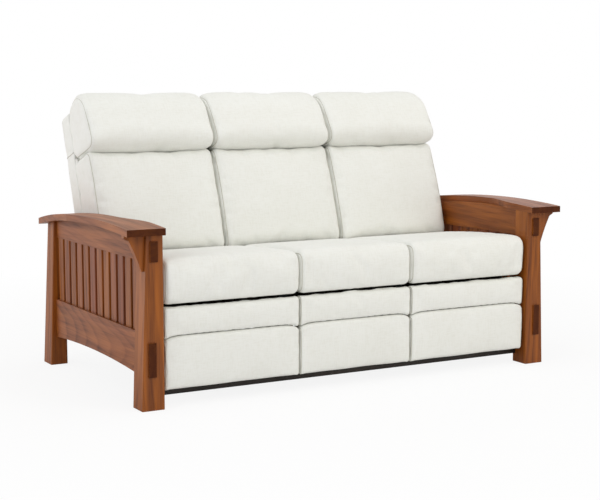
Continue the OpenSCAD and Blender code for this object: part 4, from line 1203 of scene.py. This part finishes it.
class SOFA_OT_studio(Operator):
    """Sets up the pale floor, the soft lights, the white surroundings and the camera"""

    bl_idname = "sofa.studio"
    bl_label = "Studio"

    def execute(self, context):
        studio = context.scene.sofa_studio
        self.floor(studio)
        self.surroundings(context, studio)
        self.lights(studio)
        self.camera(context, studio)
        context.scene.view_settings.view_transform = "Standard"
        return {"FINISHED"}

    def floor(self, studio):
        """Painted floor: it takes the shadow, and the camera sees it mostly as white."""
        material, tree, output = blank("pale painted floor")
        coordinates = node(tree, "ShaderNodeTexCoord").outputs["Object"]
        mottle = node(tree, "ShaderNodeTexNoise",
                      {"Vector": coordinates, "Scale": 2.0, "Detail": 2.0})
        dull = node(tree, "ShaderNodeMapRange",
                    {"Value": mottle.outputs[0], "To Min": 0.78, "To Max": 0.86})
        paint = node(tree, "ShaderNodeBsdfPrincipled",
                     {"Base Color": studio.floor, "Roughness": dull.outputs[0],
                      "Specular IOR Level": 0.1})
        glow = node(tree, "ShaderNodeEmission", {"Color": WHITE, "Strength": 1.0})
        path = node(tree, "ShaderNodeLightPath")
        # Far from the sofa the floor is plain white, so that it has no edge
        far = node(tree, "ShaderNodeVectorMath", {0: coordinates}, operation="LENGTH")
        share = node(tree, "ShaderNodeMapRange",
                     {"Value": far.outputs["Value"], "From Min": 1.2, "From Max": 3.2,
                      "To Min": 0.88, "To Max": 1.0})
        seen = node(tree, "ShaderNodeMath",
                    {0: path.outputs["Is Camera Ray"], 1: share.outputs[0]},
                    operation="MULTIPLY")
        mixed = node(tree, "ShaderNodeMixShader",
                     {0: seen.outputs[0], 1: paint.outputs[0], 2: glow.outputs[0]})
        finish_surface(tree, output, mixed)
        # It reaches 30 m each way, and lies a little below the feet so as not to touch them
        half, gap = 30.0, 0.3 * MM
        corners = [(-half, -half, 0), (half, -half, 0), (half, half, 0), (-half, half, 0)]
        floor = mesh_piece("floor", corners, [[0, 1, 2, 3]], [material])
        floor.location.z = -gap

    def surroundings(self, context, studio):
        """Even room light, seen as plain white by the camera and in reflections."""
        world = bpy.data.worlds.new("studio")
        context.scene.world = world
        world.use_nodes = True
        tree = world.node_tree
        tree.nodes.clear()
        path = node(tree, "ShaderNodeLightPath")
        shiny = node(tree, "ShaderNodeMath",
                     {0: path.outputs["Is Glossy Ray"], 1: path.outputs["Is Transmission Ray"]},
                     operation="MAXIMUM")
        direct = node(tree, "ShaderNodeMath",
                      {0: path.outputs["Is Camera Ray"], 1: shiny.outputs[0]},
                      operation="MAXIMUM")
        strength = node(tree, "ShaderNodeMapRange",
                        {"Value": direct.outputs[0], "To Min": studio.room, "To Max": 1.0})
        sky = node(tree, "ShaderNodeBackground",
                   {"Color": WHITE, "Strength": strength.outputs[0]})
        output = node(tree, "ShaderNodeOutputWorld")
        tree.links.new(sky.outputs[0], output.inputs["Surface"])

    def lights(self, studio):
        """A broad key from the right front, a fill from the left, a soft top light, and a panel
        behind the left end that shines along the arm and the slats."""
        # Each one's place, width, power and tint; all of them face the middle of the sofa
        middle = Vector((0, 0, 0.5))
        rows = (("key light", (2.4, -4.2, 3.4), 2.6, studio.key, "#FFF9F0"),
                ("fill light", (-4.6, -2.0, 2.2), 2.4, studio.fill, "#F7F9FF"),
                ("top light", (0.0, -0.4, 4.2), 3.0, studio.top, "#FFFFFF"),
                ("side panel", (-4.2, 3.4, 1.4), 3.0, studio.panel, "#FFF6F2"))
        for name, place, width, power, tint in rows:
            lamp = bpy.data.lights.new(name, "AREA")
            lamp.shape, lamp.size, lamp.energy = "SQUARE", width, power
            lamp.color = linear(tint)[:3]
            light = bpy.data.objects.new(name, lamp)
            light.location = place
            light.rotation_euler = (middle - Vector(place)).to_track_quat("-Z", "Y").to_euler()
            bpy.context.scene.collection.objects.link(light)

    def camera(self, context, studio):
        """The photograph's viewpoint."""
        # Width of a full frame sensor in millimetres
        full_frame = 36
        data = bpy.data.cameras.new("camera")
        data.lens, data.sensor_width, data.sensor_fit = studio.lens, full_frame, "HORIZONTAL"
        camera = bpy.data.objects.new("camera", data)
        camera.location = studio.camera_place
        camera.rotation_euler = (math.pi / 2 - studio.camera_pitch, 0, -studio.camera_turn)
        context.scene.collection.objects.link(camera)
        context.scene.camera = camera


PIECES = (
    SOFA_OT_frame_wood, SOFA_OT_base_rails, SOFA_OT_inner_frames, SOFA_OT_steel,
    SOFA_OT_seat_cushions, SOFA_OT_footrest_pads, SOFA_OT_back_cushions, SOFA_OT_headrests,
    SOFA_OT_back_covers, SOFA_OT_studio,
)
GROUPS = {
    "sofa_wood": SofaWood, "sofa_cloth": SofaCloth, "sofa_steel": SofaSteel,
    "sofa_cushions": SofaCushions, "sofa_studio": SofaStudio,
}


class VIEW3D_PT_sofa(Panel):
    """Lists the sofa's pieces and settings"""

    bl_label = "Reclining sofa"
    bl_space_type = "VIEW_3D"
    bl_region_type = "UI"
    bl_category = "Sofa"

    def draw(self, context):
        for piece in PIECES:
            self.layout.operator(piece.bl_idname)
        for name, group in GROUPS.items():
            box = self.layout.box()
            for key in group.__annotations__:
                box.prop(getattr(context.scene, name), key)


CLASSES = (*GROUPS.values(), *PIECES, VIEW3D_PT_sofa)


def register():
    for cls in CLASSES:
        bpy.utils.register_class(cls)
    for name, group in GROUPS.items():
        setattr(bpy.types.Scene, name, PointerProperty(type=group))


def unregister():
    for name in GROUPS:
        delattr(bpy.types.Scene, name)
    for cls in reversed(CLASSES):
        bpy.utils.unregister_class(cls)


def main():
    """Dresses the sofa piece by piece."""
    register()
    for piece in PIECES:
        group, name = piece.bl_idname.split(".")
        getattr(getattr(bpy.ops, group), name)()
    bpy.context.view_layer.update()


if __name__ == "__main__":
    main()
